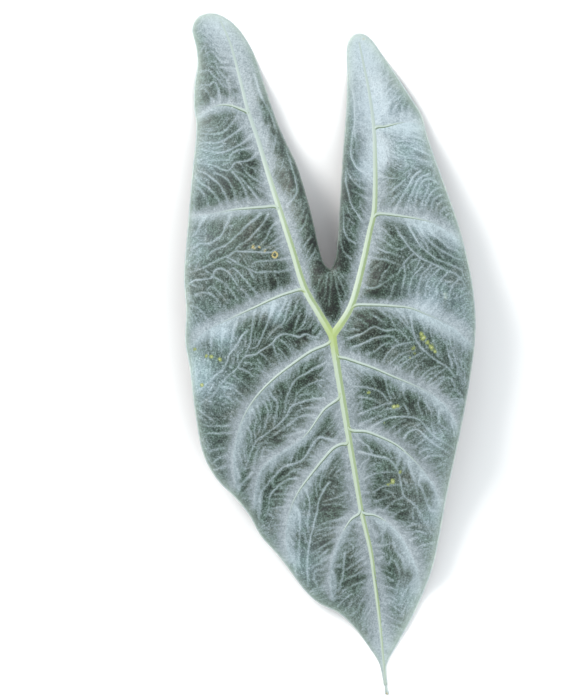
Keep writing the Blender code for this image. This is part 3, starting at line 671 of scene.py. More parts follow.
RIGHT_FINE_VEINS = (
    ((32.5, 104.5), (37.5, 103.5), (42, 103), (46.5, 105.5), (51, 109)),
    ((58, 108), (54.5, 105.5), (51.5, 100.5), (46.5, 92.5), (42, 84.5), (40.5, 80.5)),
    ((64, 106), (59, 104), (56, 101.5), (54.5, 98), (51, 90.5), (47.5, 83)),
    ((69.5, 99.5), (67, 101.5), (63.5, 103), (59.5, 101.5), (57.5, 97.5), (54.5, 89.5), (53.5, 84.5)),
    ((63.5, 99.5), (62, 95.5), (59.5, 91), (57.5, 83)),
    ((72.5, 97.5), (68, 96.5), (64.5, 93.5), (62.5, 89.5), (60.5, 81)),
    ((74.5, 92.5), (70, 92), (67, 90), (65, 86), (64.5, 81.5)),
    ((75, 88.5), (71, 87.5), (68.5, 84.5), (67.5, 81)),
    ((77, 84), (73.5, 84), (71, 81)),
    ((79, 80), (75.5, 79.5), (74, 76.5)),
    ((47, 101.5), (42.5, 97.5), (38.5, 94.5), (35.5, 92.5)),
    ((43.5, 92.5), (39.5, 89), (36, 86)),
    ((32, 70.5), (35.5, 67.5), (39, 63.5), (42.5, 60)),
    ((42, 70), (44.5, 66), (47, 62.5), (49, 59.5), (53.5, 54), (57.5, 50.5), (64.5, 47.5), (69, 45),
     (75, 42), (81, 39.5), (85, 35.5), (87.5, 31)),
    ((49.5, 72.5), (51.5, 68), (54.5, 63), (57.5, 59), (61, 55.5), (67.5, 50.5), (75, 47.5), (85, 43)),
    ((57, 71.5), (59, 67), (62.5, 63), (67, 59), (71.5, 55.5), (76, 53), (81, 50.5), (85.5, 50)),
    ((62.5, 71.5), (66, 66.5), (71, 62.5), (75, 58.5), (81, 55.5), (85.5, 53.5)),
    ((29, 64.5), (32.5, 63), (35.5, 60), (39, 57.5), (45.5, 56.5), (49, 59)),
    ((29.5, 57), (35, 54.5), (41, 53), (45.5, 51.5)),
    ((24.5, 51), (29.5, 50), (35.5, 49), (41, 47), (45.5, 45.5)),
    ((53.5, 54), (50.5, 51.5), (47.5, 48), (45, 44), (42, 40)),
    ((47, 45.5), (47.5, 40), (46.5, 35.5), (45, 26)),
    ((57, 50), (55.5, 45.5), (52.5, 41), (49.5, 39.5)),
    ((65, 47), (62, 43), (58.5, 39.5), (57, 34.5), (55, 25)),
    ((59, 45.5), (55.5, 41.5), (52, 37.5), (50.5, 33), (49.5, 27)),
    ((69.5, 43), (65.5, 39.5), (62.5, 36), (61, 31), (60.5, 26)),
    ((75, 41), (72, 38), (69, 34), (67.5, 30), (66, 24.5)),
    ((78, 35), (74.5, 35), (72, 32), (71, 27.5)),
    ((82.5, 36.5), (79, 33.5), (77, 29.5), (75.5, 24.5)),
    ((19, 33), (24, 31.5), (29, 32), (32.5, 34), (36, 36), (39.5, 39)),
    ((40.5, 34.5), (38.5, 30), (37, 25)),
    ((10.5, -2), (15, 0), (20.5, 2), (25.5, 5), (28, 5.5), (33, 3.5), (40.5, 4), (43.5, 3.5), (50, -2)),
    ((24.5, 14.5), (28, 12), (32, 9.5), (35, 7)),
    ((37, 13), (39, 9.5), (41, 5.5)),
    ((51, 12.5), (51.5, 7.5), (52.5, 3), (54, -1.5), (56, -5), (61.5, -11.5), (67, -15.5), (75, -20.5),
     (80.5, -27)),
    ((43, 12.5), (46, 8.5), (50, 4), (52.5, 0.5)),
    ((12, -8), (17, -6.5), (22.5, -4), (28, -1.5), (34, -0.5), (39, -1), (43.5, -6)),
    ((22, -12), (27.5, -10), (31.5, -7), (35, -5), (39, -5.5)),
    ((33.5, -16.5), (35, -13), (37.5, -10), (40.5, -7.5), (45, -6), (53.5, -4)),
    ((37, -18.5), (40, -16), (43, -13), (47.5, -11), (51.5, -10)),
    ((43, -21.5), (46, -18), (50, -15.5), (54.5, -13.5), (58.5, -11)),
    ((51, -26.5), (53, -23), (56, -20), (59.5, -19)),
    ((57, -28.5), (61.5, -24), (65.5, -21.5), (70, -20)),
    ((62.5, -30.5), (66.5, -26.5), (70.5, -23.5), (75, -21)),
    ((68, -34), (71, -29.5), (75.5, -27.5), (78, -28.5), (81.5, -36.5), (84.5, -39.5)),
    ((15, -23), (18.5, -26), (22, -29)),
    ((13.5, -33), (19.5, -33.5), (25, -34.5), (29.5, -36), (32.5, -38), (35, -41), (37, -44.5)),
    ((17, -40), (23, -40.5), (27, -42), (31, -45)),
    ((17, -51.5), (23.5, -49), (29.5, -47), (34, -45.5), (38.5, -44.5)),
    ((18.5, -58), (24, -55), (29.5, -53), (35, -51)),
    ((24, -61), (29.5, -57.5), (35, -54.5), (40.5, -53.5), (51.5, -53), (56, -54.5), (60, -58),
     (66, -65), (75.5, -71), (79, -73.5)),
    ((40.5, -64.5), (45, -60.5), (48, -58.5), (51, -56.5)),
    ((47, -66.5), (49, -63.5), (52.5, -61.5), (56, -61.5), (58.5, -64), (62, -67.5), (68.5, -72),
     (76, -76.5)),
    ((54, -73), (57.5, -70), (61.5, -67.5)),
    ((57, -76.5), (60.5, -74.5), (65, -73.5)),
    ((59, -81), (63, -79), (68, -78), (74, -79)),
    ((66.5, -86.5), (71, -84.5), (77, -83.5)),
    ((56.5, -40.5), (56, -44), (57.5, -48.5), (59, -53)),
    ((60, -42), (62.5, -46.5), (65, -49), (64.5, -53.5)),
    ((70, -48.5), (69.5, -53), (70.5, -57.5), (73.5, -60), (77, -63)),
    ((46, -32), (46.5, -36.5), (47, -40.5), (49, -43.5)),
    ((37, -32), (39, -36.5), (40.5, -40)),
    ((46, -44), (48.5, -48), (50, -52.5)),
    ((17.5, -76), (24, -77.5), (30, -79), (35.5, -80), (38.5, -82), (43, -89.5), (45.5, -101),
     (47.5, -105.5), (54.5, -111), (60, -120.5), (65.5, -129.5)),
    ((20.5, -94), (26.5, -91), (33, -89.5), (37.5, -89), (42, -89.5)),
    ((27, -102.5), (33.5, -99.5), (38.5, -98), (43.5, -97.5)),
    ((33.5, -114.5), (37.5, -110.5), (42, -107.5), (47, -106)),
    ((27.5, -108.5), (33, -107), (38, -105.5)),
    ((39.5, -118.5), (43.5, -115.5), (48.5, -113.5)),
    ((48.5, -126), (53.5, -124.5), (58, -124.5)),
    ((51.5, -134), (55, -132), (59.5, -130.5)),
    ((50, -82.5), (50.5, -88), (52.5, -92), (54.5, -97), (55.5, -101.5), (56.5, -107)),
    ((58, -92), (56.5, -97), (59.5, -101.5), (61, -106), (63, -111.5), (65, -115), (69, -115.5)),
    ((47, -94), (49, -98), (50.5, -101.5)),
    ((40, -135.5), (42, -141), (45.5, -145.5), (47, -150), (48, -155.5)),
    ((28.5, -137.5), (34.5, -137.5), (39.5, -136)),
    ((30.5, -146.5), (36.5, -144)),
    ((41, -147.5), (43.5, -152.5), (44.5, -158)),
    ((32, 148), (33.5, 154.5), (35.5, 158.5), (37.5, 161.5), (41.5, 165), (44, 166.5)),
    ((35.5, 144), (36, 148.5), (37.5, 153.5), (40.5, 157), (42, 160), (44.5, 162)),
    ((40, 147.5), (42, 151), (44.5, 154), (46, 157), (49, 157)),
    ((45.5, 144.5), (46, 149.5), (45.5, 152.5)),
    ((50, 146.5), (50.5, 151), (52, 152.5)),
    ((27.5, 158.5), (31.5, 162), (34, 165), (37.5, 168), (42, 169)),
    ((28, 166.5), (31.5, 168.5), (35, 171)),
    ((25.5, 172.5), (29.5, 172), (32.5, 174)),
    ((15, 130), (15, 140.5), (15, 152), (13, 165), (12, 176)),
    ((15.5, 141), (19, 140), (22.5, 137.5)),
)


class FineVein:
    """One vein of the net: its course, its strength from 0 to 1 and whether links may leave it."""

    def __init__(self, path, strength, panel=None, is_main=False):
        self.path = path
        self.strength = strength
        self.panel = panel
        self.is_main = is_main
        self.beads = RANDOM.uniform(*BEAD_SHARES, len(path) // BEAD_POINTS + 2)

    def strengths(self, count):
        """Its strength at so many even places from its root to its end, where it is weakest."""
        share = np.linspace(0.0, 1.0, count)
        beading = np.interp(share, np.linspace(0.0, 1.0, len(self.beads)), self.beads)
        return self.strength * beading * (1.0 - NET_TAPER * share**2)


def family(panel, side):
    """The veins that leave the panel's midvein on one side, in order, before any is cut short."""
    veins = []
    phase = panel.wander_along[0] + panel.spacing * RANDOM.uniform(*FIRST_PLACE)
    while phase < panel.wander_along[-1] + PHASE_BEYOND:
        gap = panel.spacing * (1.0 + RANDOM.uniform(-SPACING_JITTER, SPACING_JITTER))
        lean = 1.0 + RANDOM.uniform(-LEAN_JITTER, LEAN_JITTER)
        strength = RANDOM.uniform(*MAIN_STRENGTH) * panel.strength
        path = panel.fine_vein(phase, side, lean)
        if len(path) >= FEWEST_POINTS:
            path = wandering(path)
            veins.append(FineVein(path, strength, panel, is_main=True))
            for way in (gap, -gap):
                if RANDOM.random() < FORK_CHANCE:
                    branch = fork(path, way)
                    veins.append(FineVein(branch, strength * FORK_SHARE, panel))
                    if len(branch) >= FEWEST_POINTS and RANDOM.random() < FORK_AGAIN:
                        veins.append(FineVein(fork(branch, way), strength * FORK_SHARE**2, panel))
        for _ in range(HAIRS_BETWEEN):
            veins += hair(panel, phase + gap * RANDOM.random(), side, lean)
        phase += gap
    return [vein for vein in veins if len(vein.path) >= FEWEST_POINTS]


def fork(path, gap):
    """A branch that leaves the path not far from its root and then runs beside it."""
    branch = path[RANDOM.integers(*FORK_PLACES):]
    if len(branch) < FEWEST_POINTS:
        return branch
    spread = gap * RANDOM.uniform(*FORK_SPREAD)
    away = spread * smoothstep(0.0, FORK_REACH, length_along(branch))
    return branch + away[:, None] * normals_of(branch)


def hair(panel, phase, side, lean):
    """A very fine short vein somewhere along the course of that phase, in a list, or none."""
    course = panel.fine_vein(phase, side, lean)
    count = RANDOM.integers(*HAIR_POINTS)
    if len(course) < count + HAIR_ROOM:
        return []
    start = RANDOM.integers(0, len(course) - count)
    return [FineVein(wandering(course[start:start + count]), RANDOM.uniform(*HAIR_STRENGTH), panel)]


def cut_short(veins, drawn):
    """The veins, each kept where it first runs clear of the drawn ones and of every border."""
    points = np.vstack([vein.path for vein in veins])
    places = Places(points)
    clear = (places.to_vein > NET_TO_VEIN) & (places.to_edge > NET_TO_EDGE)
    clear &= inside(MARGIN_PATH, points) & (distance_to_net(points, drawn)[0] > NET_TO_DRAWN)
    numbers = [PANELS.index(vein.panel) for vein in veins]
    panels = np.repeat(numbers, [len(vein.path) for vein in veins])
    for k, panel in enumerate(PANELS):
        here = panels == k
        clear[here] &= inside(panel.outline, points[here])
    first, kept = 0, []
    for vein in veins:
        mine = clear[first:first + len(vein.path)]
        first += len(mine)
        start = mine.argmax()
        mine = np.append(mine[start:], False)
        vein.path = vein.path[start:start + mine.argmin()]
        if len(vein.path) >= FEWEST_POINTS:
            kept.append(vein)
    return kept


def within_margin(path):
    """The path without the points that lie outside the margin or too near to it."""
    edge, _ = project(MARGIN_PATH, path)
    return path[inside(MARGIN_PATH, path) & (np.abs(edge) > NET_TO_EDGE)]


def links(one, other):
    """Short crossing veins between two neighbouring veins of a family."""
    made = []
    for _ in range(RANDOM.integers(*LINKS_BETWEEN)):
        shorter = min(len(one), len(other))
        a = RANDOM.integers(1, shorter - 1)
        b = int(np.clip(a + RANDOM.integers(*LINK_SHIFT), 1, shorter - 1))
        middle = (one[a] + other[b]) / 2 + RANDOM.normal(0.0, LINK_BEND, 2)
        path = resampled(np.array([one[a], middle, other[b]]), NET_STEP)
        if len(path) >= FEWEST_LINK_POINTS and length_along(path)[-1] < LONGEST_LINK:
            made.append(FineVein(path, RANDOM.uniform(*LINK_STRENGTH)))
    return made


def outer_stretches():
    """The primary veins where they no longer stand out as ridges."""
    made = []
    for path, share in zip(VEINS, RIDGE_SHARES):
        rest = within_margin(resampled(path[round(len(path) * share) - 1:], NET_STEP))
        if len(rest) >= FEWEST_POINTS:
            made.append(FineVein(rest, OUTER_VEIN_STRENGTH))
    return made


def drawn_veins():
    """The veins that are drawn one by one, each with a little wander."""
    made = []
    for course in (*SINUS_FAN, *STRIP_VEINS, *LEFT_FINE_VEINS, *RIGHT_FINE_VEINS):
        path = within_margin(wandering(smooth_path(course, NET_STEP), DRAWN_WANDER))
        if len(path) >= FEWEST_POINTS:
            strength = between(DRAWN_STRENGTH, min(length_along(path)[-1] / LONG_VEIN, 1.0))
            made.append(FineVein(path, strength * (FAN_SHARE if course in SINUS_FAN else 1.0)))
    return made


def leaf_net():
    """All the fine veins of the blade: the drawn ones, and families that grow between them."""
    drawn = drawn_veins()
    lobes = (PANELS[0], PANELS[len(LEFT_MIDVEINS)])
    net = drawn + [FineVein(within_margin(panel.midvein), LOBE_MIDVEIN_STRENGTH) for panel in lobes]
    net += outer_stretches()
    for side in (1.0, -1.0):
        veins = cut_short([vein for panel in PANELS for vein in family(panel, side)], drawn)
        net += veins
        mains = [vein for vein in veins if vein.is_main]
        for one, other in zip(mains, mains[1:]):
            if one.panel is other.panel:
                net += links(one.path, other.path)
    return net


def row_frame(points, heights):
    """Plan points and heights in millimetres as places in the model's frame, in its box."""
    places = np.column_stack([points - PLAN_CENTRE, heights]) * MM
    return np.clip(places, np.array(MODEL_BOX[0]), np.array(MODEL_BOX[1]))


def new_piece(name, places, faces, materials, face_material=None):
    """A mesh object that rides on the leaf's one body."""
    mesh = bpy.data.meshes.new(name)
    mesh.from_pydata(places.tolist(), [], faces)
    mesh.validate()
    mesh.shade_smooth()
    for material in materials:
        mesh.materials.append(material)
    if face_material is not None:
        mesh.polygons.foreach_set("material_index", face_material)
    piece = bpy.data.objects.new(name, mesh)
    bpy.context.scene.collection.objects.link(piece)
    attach(piece, "root")
    return piece


def add_values(piece, name, values):
    """Gives the piece's first points a number or a vector each, and the rest 0, for its material."""
    kind, field = ("FLOAT_VECTOR", "vector") if values.ndim == 2 else ("FLOAT", "value")
    made = piece.data.attributes.new(name, kind, "POINT")
    full = np.zeros((len(piece.data.vertices), *values.shape[1:]), np.float32)
    full[:len(values)] = values
    made.data.foreach_set(field, full.ravel())


def ring_faces(rings, sides, closed=False):
    """Quads between successive rings of points, with a face over each open end."""
    faces = []
    for ring in range(rings if closed else rings - 1):
        here, there = ring * sides, (ring + 1) % rings * sides
        for k in range(sides):
            after = (k + 1) % sides
            faces.append((here + k, here + after, there + after, there + k))
    if not closed:
        faces.append(tuple(range(sides))[::-1])
        faces.append(tuple(range((rings - 1) * sides, rings * sides)))
    return faces


def lattice(pitch, clearance):
    """Evenly spread points inside the margin, in staggered rows."""
    low, high = MARGIN_PATH.min(axis=0), MARGIN_PATH.max(axis=0)
    rows = []
    for k, y in enumerate(np.arange(low[1], high[1], pitch * ROW_SHARE)):
        x = np.arange(low[0] + (k % 2) * pitch / 2, high[0], pitch)
        rows.append(np.stack([x, np.full(len(x), y)], axis=1))
    points = np.vstack(rows)
    points = points[inside(MARGIN_PATH, points)]
    return points[np.abs(project(MARGIN_PATH, points)[0]) > clearance]


def filled(outline, pitch):
    """(points, triangles) that fill an outline, whose own points come first."""
    points = np.vstack([outline, lattice(pitch, RIM_INSET + pitch * BORDER_SHARE)])
    loop = list(range(len(outline)))
    made = delaunay_2d_cdt([Vector(p) for p in points], [], [loop], 1, SAME_POINT)
    return np.array([tuple(p) for p in made[0]]), [tuple(face) for face in made[2]]


# The pale rolled margin: its half width and half thickness, and how far in the blade ends.
RIM_HALF_WIDTH, RIM_HALF_THICKNESS, RIM_INSET = 0.7, 0.36, 0.55
RIM_SIDES = 10


def inset_margin(step, inset):
    """(points, inward): the margin moved inwards, with no repeated point, and the ways in."""
    path = smooth_path(MARGIN, step)[:-1]
    tangent = np.roll(path, -1, axis=0) - np.roll(path, 1, axis=0)
    tangent /= np.linalg.norm(tangent, axis=1)[:, None]
    inward = np.stack([-tangent[:, 1], tangent[:, 0]], axis=1)
    return path + inset * inward, inward


# The silver beside a rib or primary vein, as (share of its length, how far the silver spreads there
# in millimetres, how pale it is). A vein's front side faces the drip tip, its hind side the lobes.
MIDRIB_SILVER = ((0.0, 8.0, 0.56), (0.08, 11.0, 0.58), (0.5, 9.0, 0.54), (1.0, 7.0, 0.55))
COSTA_SILVER = ((0.0, 3.5, 0.56), (0.25, 8.0, 0.6), (0.6, 8.5, 0.64), (1.0, 11.0, 0.65))
LEFT_FRONT_SILVER = ((0.0, 4.5, 0.58), (0.7, 6.0, 0.58), (1.0, 4.0, 0.5))
RIGHT_FRONT_SILVER = ((0.0, 4.5, 0.6), (0.8, 7.5, 0.66), (1.0, 6.0, 0.56))
HIND_SILVER = ((0.0, 7.5, 0.62), (0.7, 6.5, 0.58), (1.0, 4.5, 0.5))
# How lilac the silver is along the ribs, and on a vein's front and hind sides.
RIB_LILAC, FRONT_LILAC, HIND_LILAC = 0.8, 0.0, 1.0
SILVER_BLEND = 6.0


def profile(stops, share):
    """(width, level) of the silver at a share of the way along a vein."""
    places, widths, levels = zip(*stops)
    return np.interp(share, places, widths), np.interp(share, places, levels)


def silver_of(places):
    """(cover, level, lilac): how deep in the silver each point is, from 1 down, and its shade."""
    covers, levels, lilacs = [], [], []
    ribs = (MIDRIB_SILVER, COSTA_SILVER, COSTA_SILVER)
    for away, share, silver in zip(places.to_ribs, places.share_of_ribs, ribs):
        width, level = profile(silver, share)
        covers.append(1.0 - away / width)
        levels.append(level)
        lilacs.append(np.full(len(away), RIB_LILAC))
    fronts = [LEFT_FRONT_SILVER] * len(LEFT_VEINS) + [RIGHT_FRONT_SILVER] * len(RIGHT_VEINS)
    for k, silver in enumerate(fronts):
        away, share = places.to_veins[k], places.share_of_veins[k]
        front, hind = profile(silver, share), profile(HIND_SILVER, share)
        width, level = np.where(places.in_front[k], front, hind)
        covers.append(1.0 - away / width)
        levels.append(level)
        lilacs.append(np.where(places.in_front[k], FRONT_LILAC, HIND_LILAC))
    weight = np.exp(SILVER_BLEND * np.maximum(covers, -1.0))
    weight /= weight.sum(axis=0)
    return np.max(covers, axis=0), (levels * weight).sum(axis=0), (lilacs * weight).sum(axis=0)


# Darker and paler patches of the face, as (x, y, radius, strength). The paler patches are paler skin,
# and at the hind lobes and the drip tip a painted sky reflection.
DARK_PATCHES = (
    (24, 8, 13, 1), (31.5, -9.5, 8, 0.8), (64, -18, 8, 0.5), (31, 42, 10, 1), (28, 29, 8, 1),
    (41.5, 27, 7, 0.9), (72, 53.5, 8, 0.7), (56, 67.5, 8, 0.3), (-18, 3, 8, 1.3), (-27, 6, 7, 0.9),
    (-54, -33, 8, 0.7), (-3, -138, 9, 1.2), (-3, -152, 9, 1.1), (-1, -172, 8, 0.8),
    (-54, -103, 8, 0.6), (38, 107.5, 6, 0.9), (-50.5, 65.5, 8, 0.7), (-44, 72, 6, 0.9),
    (-37, 35.5, 8, 1.1), (-59.5, 52, 6, 0.4), (-52.5, 110.5, 9, 0.9), (-70.5, 101, 9, 0.8),
    (-87.5, 89, 6, 0.3), (-78, 139, 8, 0.6), (-30.5, -11.5, 7, 0.9), (-21.5, -6, 6, 0.9),
    (-42.5, -12.5, 6, 0.8), (-46, 5, 7, 0.9), (-26.5, 8.5, 6, 0.8), (-17, -27, 9, 0.8),
    (-34.5, -36, 5, 0.7), (-37, -70, 7, 0.7), (-20.5, -75.5, 6, 0.7), (-1.5, -62, 8, 0.6),
    (-4.5, -110, 8, 0.9), (-3, -95, 8, 0.6), (9.5, -152, 7, 0.6), (33, -32.5, 9, 0.8),
    (51.5, -43, 9, 0.8), (48.5, -55.5, 5, 0.8), (32, -100, 6, 0.6), (38.5, -108.5, 8, 0.5),
    (55, -80, 6, 0.6), (-2.5, 30, 10, 1.6), (-10.5, 60, 8, 1.4), (-15, 78, 7, 0.9),
    (-19.5, 94, 7, 0.9), (-25, 108, 7, 1), (-31.5, 121, 6, 1), (7, 57, 8, 1.4), (9, 76, 8, 1),
    (10.5, 94, 8, 1), (11.5, 110, 7, 0.6), (-78, 60, 14, 0.3), (-55, 63, 10, 0.7), (-7, 44, 6, 1.2),
    (3.5, 46, 6, 1.2), (-0.5, 18, 6, 1.6), (-83.5, 156, 5, 0.9), (-63, 160, 4, 0.8),
    (-79, 140, 6, 0.5), (-44.5, 151.5, 4, 1), (-41.5, 143.2, 4, 1), (-36.4, 133.8, 4, 1),
    (-32.5, 128.5, 4, 1), (-25, 100, 6, 0.8), (-17.3, -83, 5, 0.8), (-29.5, -93.4, 5, 0.8),
    (-38, -105.2, 5, 0.8), (38.6, -92.3, 5, 0.5), (45, -117, 6, 0.8), (2, -114, 5, 0.7),
    (4.1, -82.6, 5, 0.7), (12.8, -161.2, 5, 0.7), (18.3, -157.8, 5, 0.7), (35.5, -155.7, 5, 0.6),
    (51.1, -157.8, 5, 0.6), (-35, 103, 8, 1), (64, -100, 8, 0.9), (-55, -114, 9, 0.8),
    (12, -124, 6, 0.4), (-46, 104, 7, 0.4), (27, 176, 6, 0.4), (31, 158, 6, 0.4), (-72, -69, 9, 0.5),
    (-38, -103, 9, 0.6),
)
# Pale patches: paler skin, and at the hind lobes and the drip tip a painted sky reflection.
PALE_AND_SHEEN_PATCHES = (
    (-84, 205, 16, 0.3), (20, 190, 28, 0.6), (30, 150, 22, 0.65), (48, 138, 18, 0.5),
    (30, 120, 14, 0.5), (52, 123, 17, 0.7), (34, -225, 20, 0.15), (-90, -28, 14, 1.2),
    (82, 20, 16, 0.4), (-80, -26, 12, 0.5), (64, 25, 16, 0.6), (-71, -1, 9, 0.8), (-86, 6, 14, 0.2),
    (-90, 62, 12, 0.5), (84, 60, 12, 0.4), (22, 110, 10, 0.6), (57, 98, 14, 0.55), (45, 118, 12, 0.4),
    (-71, -35, 9, 0.5), (-37, 15, 7, 0.7), (66, -69, 9, 0.5), (49, -172, 9, 0.5), (58, 68, 9, 0.4),
    (-88, 102, 8, 0.4), (32, 119, 8, 0.5), (-19, -121, 8, 0.4), (-19, -150, 12, 0.5),
    (64, -120, 8, 0.5), (64, 152, 9, 0.7), (68, 118, 10, 0.7), (-82, 118, 14, 0.6),
)
# Small marks in the same form, and one tan ring.
TAN_SPOTS = (
    (-51.5, 58, 2.2, 0.8), (-47.5, 57.5, 1.8, 0.8), (-44, 55, 1.8, 0.7), (36.4, -236, 2, 1),
    (20.5, 195.5, 2.4, 0.5), (22, 143.5, 1.3, 0.5),
)
PALE_FLECKS = ((73.4, 27, 0.9, 1), (73.8, 24.8, 0.9, 1))
TAN_RING, TAN_RING_RADIUS, TAN_RING_WIDTH = (-37.5, 52.7), 1.7, 0.7
LIME_SPOTS = (
    (57.8, 1, 2, 1), (59, -1.5, 2.4, 1.1), (61.8, -4.5, 2, 1), (64.5, -7.5, 2.4, 1.1),
    (66.8, -10.5, 1.6, 1), (52.5, -8, 2, 0.8), (53.5, -11.5, 1.6, 0.8), (50.5, -14, 1.4, 0.7),
    (40.2, -46.4, 1.8, 1.2), (42.4, -46, 1.6, 1.1), (44.5, -89, 1.6, 0.9), (39.5, -95.5, 2.2, 1.1),
    (36.5, -97.5, 1.4, 0.9), (23.5, -37, 1.6, 0.8), (28, -34, 1.4, 0.6), (34, -57, 1.6, 0.6),
    (-82, -13.3, 1.6, 1), (-79, -13.7, 1.6, 1.1), (-73, -15.5, 1.8, 1.1), (-85.2, -32.3, 1.5, 1.2),
    (-89.8, -8.6, 1.6, 0.9), (-45, 60, 2.4, 0.5),
)
# A fine vein's pale band, and how much wider it is near a rib or primary vein.
NET_GLOW_WIDTH, NET_GLOW_SWELL, NET_GLOW_REACH = 0.72, 0.9, 6.0
# The step at which the net is sampled to find how far a point is from it.
NET_SAMPLING = 0.5
# How far apart the panels lie in the pattern that follows the fine veins, so none repeats another.
PANEL_APART = 370.0
# How much a dark patch takes from the silver and a pale one, partly painted sky reflection, adds, and
# the paleness by the margin.
DARK_BARES, FROST_AND_SHEEN_COVERS = 0.6, 0.9
OUTER_FROST, OUTER_FROST_WIDTH = 0.3, 10.0
# How pale the margin is and how far in, at some of its points, in the margin's own order.
EDGE_PALENESS = (
    (DRIP_TIP, 1.0, 3.0), (RIGHT_MARGIN[3], 1.0, 3.4), (RIGHT_MARGIN[6], 0.85, 2.4),
    (RIGHT_MARGIN[8], 0.6, 1.8), (RIGHT_MARGIN[10], 0.8, 2.4), (RIGHT_MARGIN[14], 0.9, 3.0),
    (RIGHT_LOBE_TIP[1], 1.0, 3.4), (RIGHT_SINUS_EDGE[0], 0.9, 2.6), (RIGHT_SINUS_EDGE[2], 0.5, 1.6),
    (RIGHT_SINUS_EDGE[4], 0.15, 1.2), (SINUS_BOTTOM[1], 0.0, 1.0), (LEFT_SINUS_EDGE[2], 0.2, 1.2),
    (LEFT_SINUS_EDGE[4], 0.4, 1.6), (LEFT_SINUS_EDGE[6], 0.7, 2.2), (LEFT_LOBE_TIP[1], 1.0, 3.2),
    (LEFT_MARGIN[3], 0.9, 2.6), (LEFT_MARGIN[6], 0.75, 2.0), (LEFT_MARGIN[9], 0.95, 2.4),
    (LEFT_MARGIN[12], 0.8, 2.2), (LEFT_MARGIN[20], 0.7, 2.2),
)


def edge_paleness(along_edge):
    """(paleness, width) of the margin's pale band at places along the margin."""
    places, paleness, width = zip(*EDGE_PALENESS)
    stations = project(MARGIN_PATH, np.array(places))[1]
    return np.interp(along_edge, stations, paleness), np.interp(along_edge, stations, width)


def spots(points, list_of_spots):
    """The strongest of some round soft spots at each point."""
    result = np.zeros(len(points))
    for x, y, radius, strength in list_of_spots:
        squared = ((points - (x, y)) ** 2).sum(axis=1)
        result = np.maximum(result, strength * np.exp(-squared / radius**2))
    return result


def distance_to_net(points, net):
    """How far each point is from the nearest fine vein, in millimetres, and that vein's strength."""
    dense = [resampled(vein.path, NET_SAMPLING) for vein in net]
    strength = np.concatenate([vein.strengths(len(path)) for path, vein in zip(dense, net)])
    tree = kdtree.KDTree(len(strength))
    for k, (x, y) in enumerate(np.vstack(dense)):
        tree.insert((x, y, 0.0), k)
    tree.balance()
    found = [tree.find((x, y, 0.0)) for x, y in points]
    away = np.array([distance for _, _, distance in found])
    return away, strength[[number for _, number, _ in found]]


def make_blade(net, face, underside):
    """The blade as one closed mesh: a fine face, a coarser underside and the edge between them."""
    outline, _ = inset_margin(OUTLINE_STEP, RIM_INSET)
    top, top_faces = filled(outline, FACE_PITCH)
    low, low_faces = filled(outline, UNDERSIDE_PITCH)
    places = Places(top)
    to_net, net_strength = distance_to_net(top, net)
    swell = FINE_QUILT_HEIGHT * (1.0 - np.exp(-((to_net / FINE_QUILT_WIDTH) ** 2)))
    for away in (places.to_edge, places.to_vein):
        swell *= smoothstep(*FINE_QUILT_START, away)
    top_height = places.height() + swell
    low_height = face_height(low) - BLADE_THICKNESS

    count, rim = len(top), len(outline)
    faces = list(top_faces)
    faces += [tuple(count + k for k in reversed(face)) for face in low_faces]
    for k in range(rim):
        after = (k + 1) % rim
        faces.append((k, count + k, count + after, after))
    under = np.zeros(len(faces), np.int32)
    under[len(top_faces):] = 1
    points = np.vstack([top, low])
    heights = np.concatenate([top_height, low_height])
    blade = new_piece("leaf_blade", row_frame(points, heights), faces, (face, underside), under)

    glow_width = NET_GLOW_WIDTH + NET_GLOW_SWELL * np.exp(-places.to_vein / NET_GLOW_REACH)
    add_face_values(blade, places, net_strength * np.exp(-((to_net / glow_width) ** 2)))
    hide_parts("blade")


def add_face_values(piece, places, glow):
    """Gives a piece of the face what the face's material reads, with glow for its fine veins."""
    points = places.points
    number = panel_of(points)
    flow = np.zeros((len(points), 3))
    for k, panel in enumerate(PANELS):
        here = np.flatnonzero(number == k)
        phase, away = panel.flow(points[here])
        flow[here] = np.stack([phase + PANEL_APART * k, away, np.zeros(len(here))], axis=1)
    streaks = np.array([panel.streaks for panel in PANELS])[number]
    dark = spots(points, DARK_PATCHES)
    cover, level, lilac = silver_of(places)
    paleness, width = edge_paleness(places.along_edge)
    edge = np.maximum(paleness * np.exp(-places.to_edge / width), spots(points, PALE_FLECKS))
    outer = OUTER_FROST * paleness * np.exp(-places.to_edge / OUTER_FROST_WIDTH)
    # Frost: the pale patches and the paler margin, at the hind lobes and the drip tip a painted sky
    # reflection.
    frost_and_sheen = spots(points, PALE_AND_SHEEN_PATCHES)
    frost_and_sheen += (1.0 - frost_and_sheen) * outer
    from_ring = np.linalg.norm(points - TAN_RING, axis=1) - TAN_RING_RADIUS
    tan = np.maximum(spots(points, TAN_SPOTS), np.exp(-((from_ring / TAN_RING_WIDTH) ** 2)))
    for name, values in (
        ("flow", flow), ("streaks", streaks),
        ("cover", cover - DARK_BARES * dark + FROST_AND_SHEEN_COVERS * frost_and_sheen),
        ("level", level), ("lilac", lilac), ("glow", glow), ("frost_and_sheen", frost_and_sheen), ("dark", dark),
        ("edge", edge), ("tan", tan), ("lime", spots(points, LIME_SPOTS)),
    ):
        add_values(piece, name, values)


# A ridge's points across each face and the power of its crest. Its root is rounded off over
# RIDGE_NOSE millimetres and flares out.
RIDGE_POINTS, RIDGE_ROUNDNESS = 11, 2.2
RIDGE_SINK, RIDGE_NOSE = 0.15, 2.4
ROOT_FLARE, ROOT_FLARE_LENGTH = 0.35, 2.5
# The way in plan that the shaded flanks face, away from the key light. The ridges' painted shade goes on
# these flanks.
SHADED_WAY = np.array([0.75, -0.66])
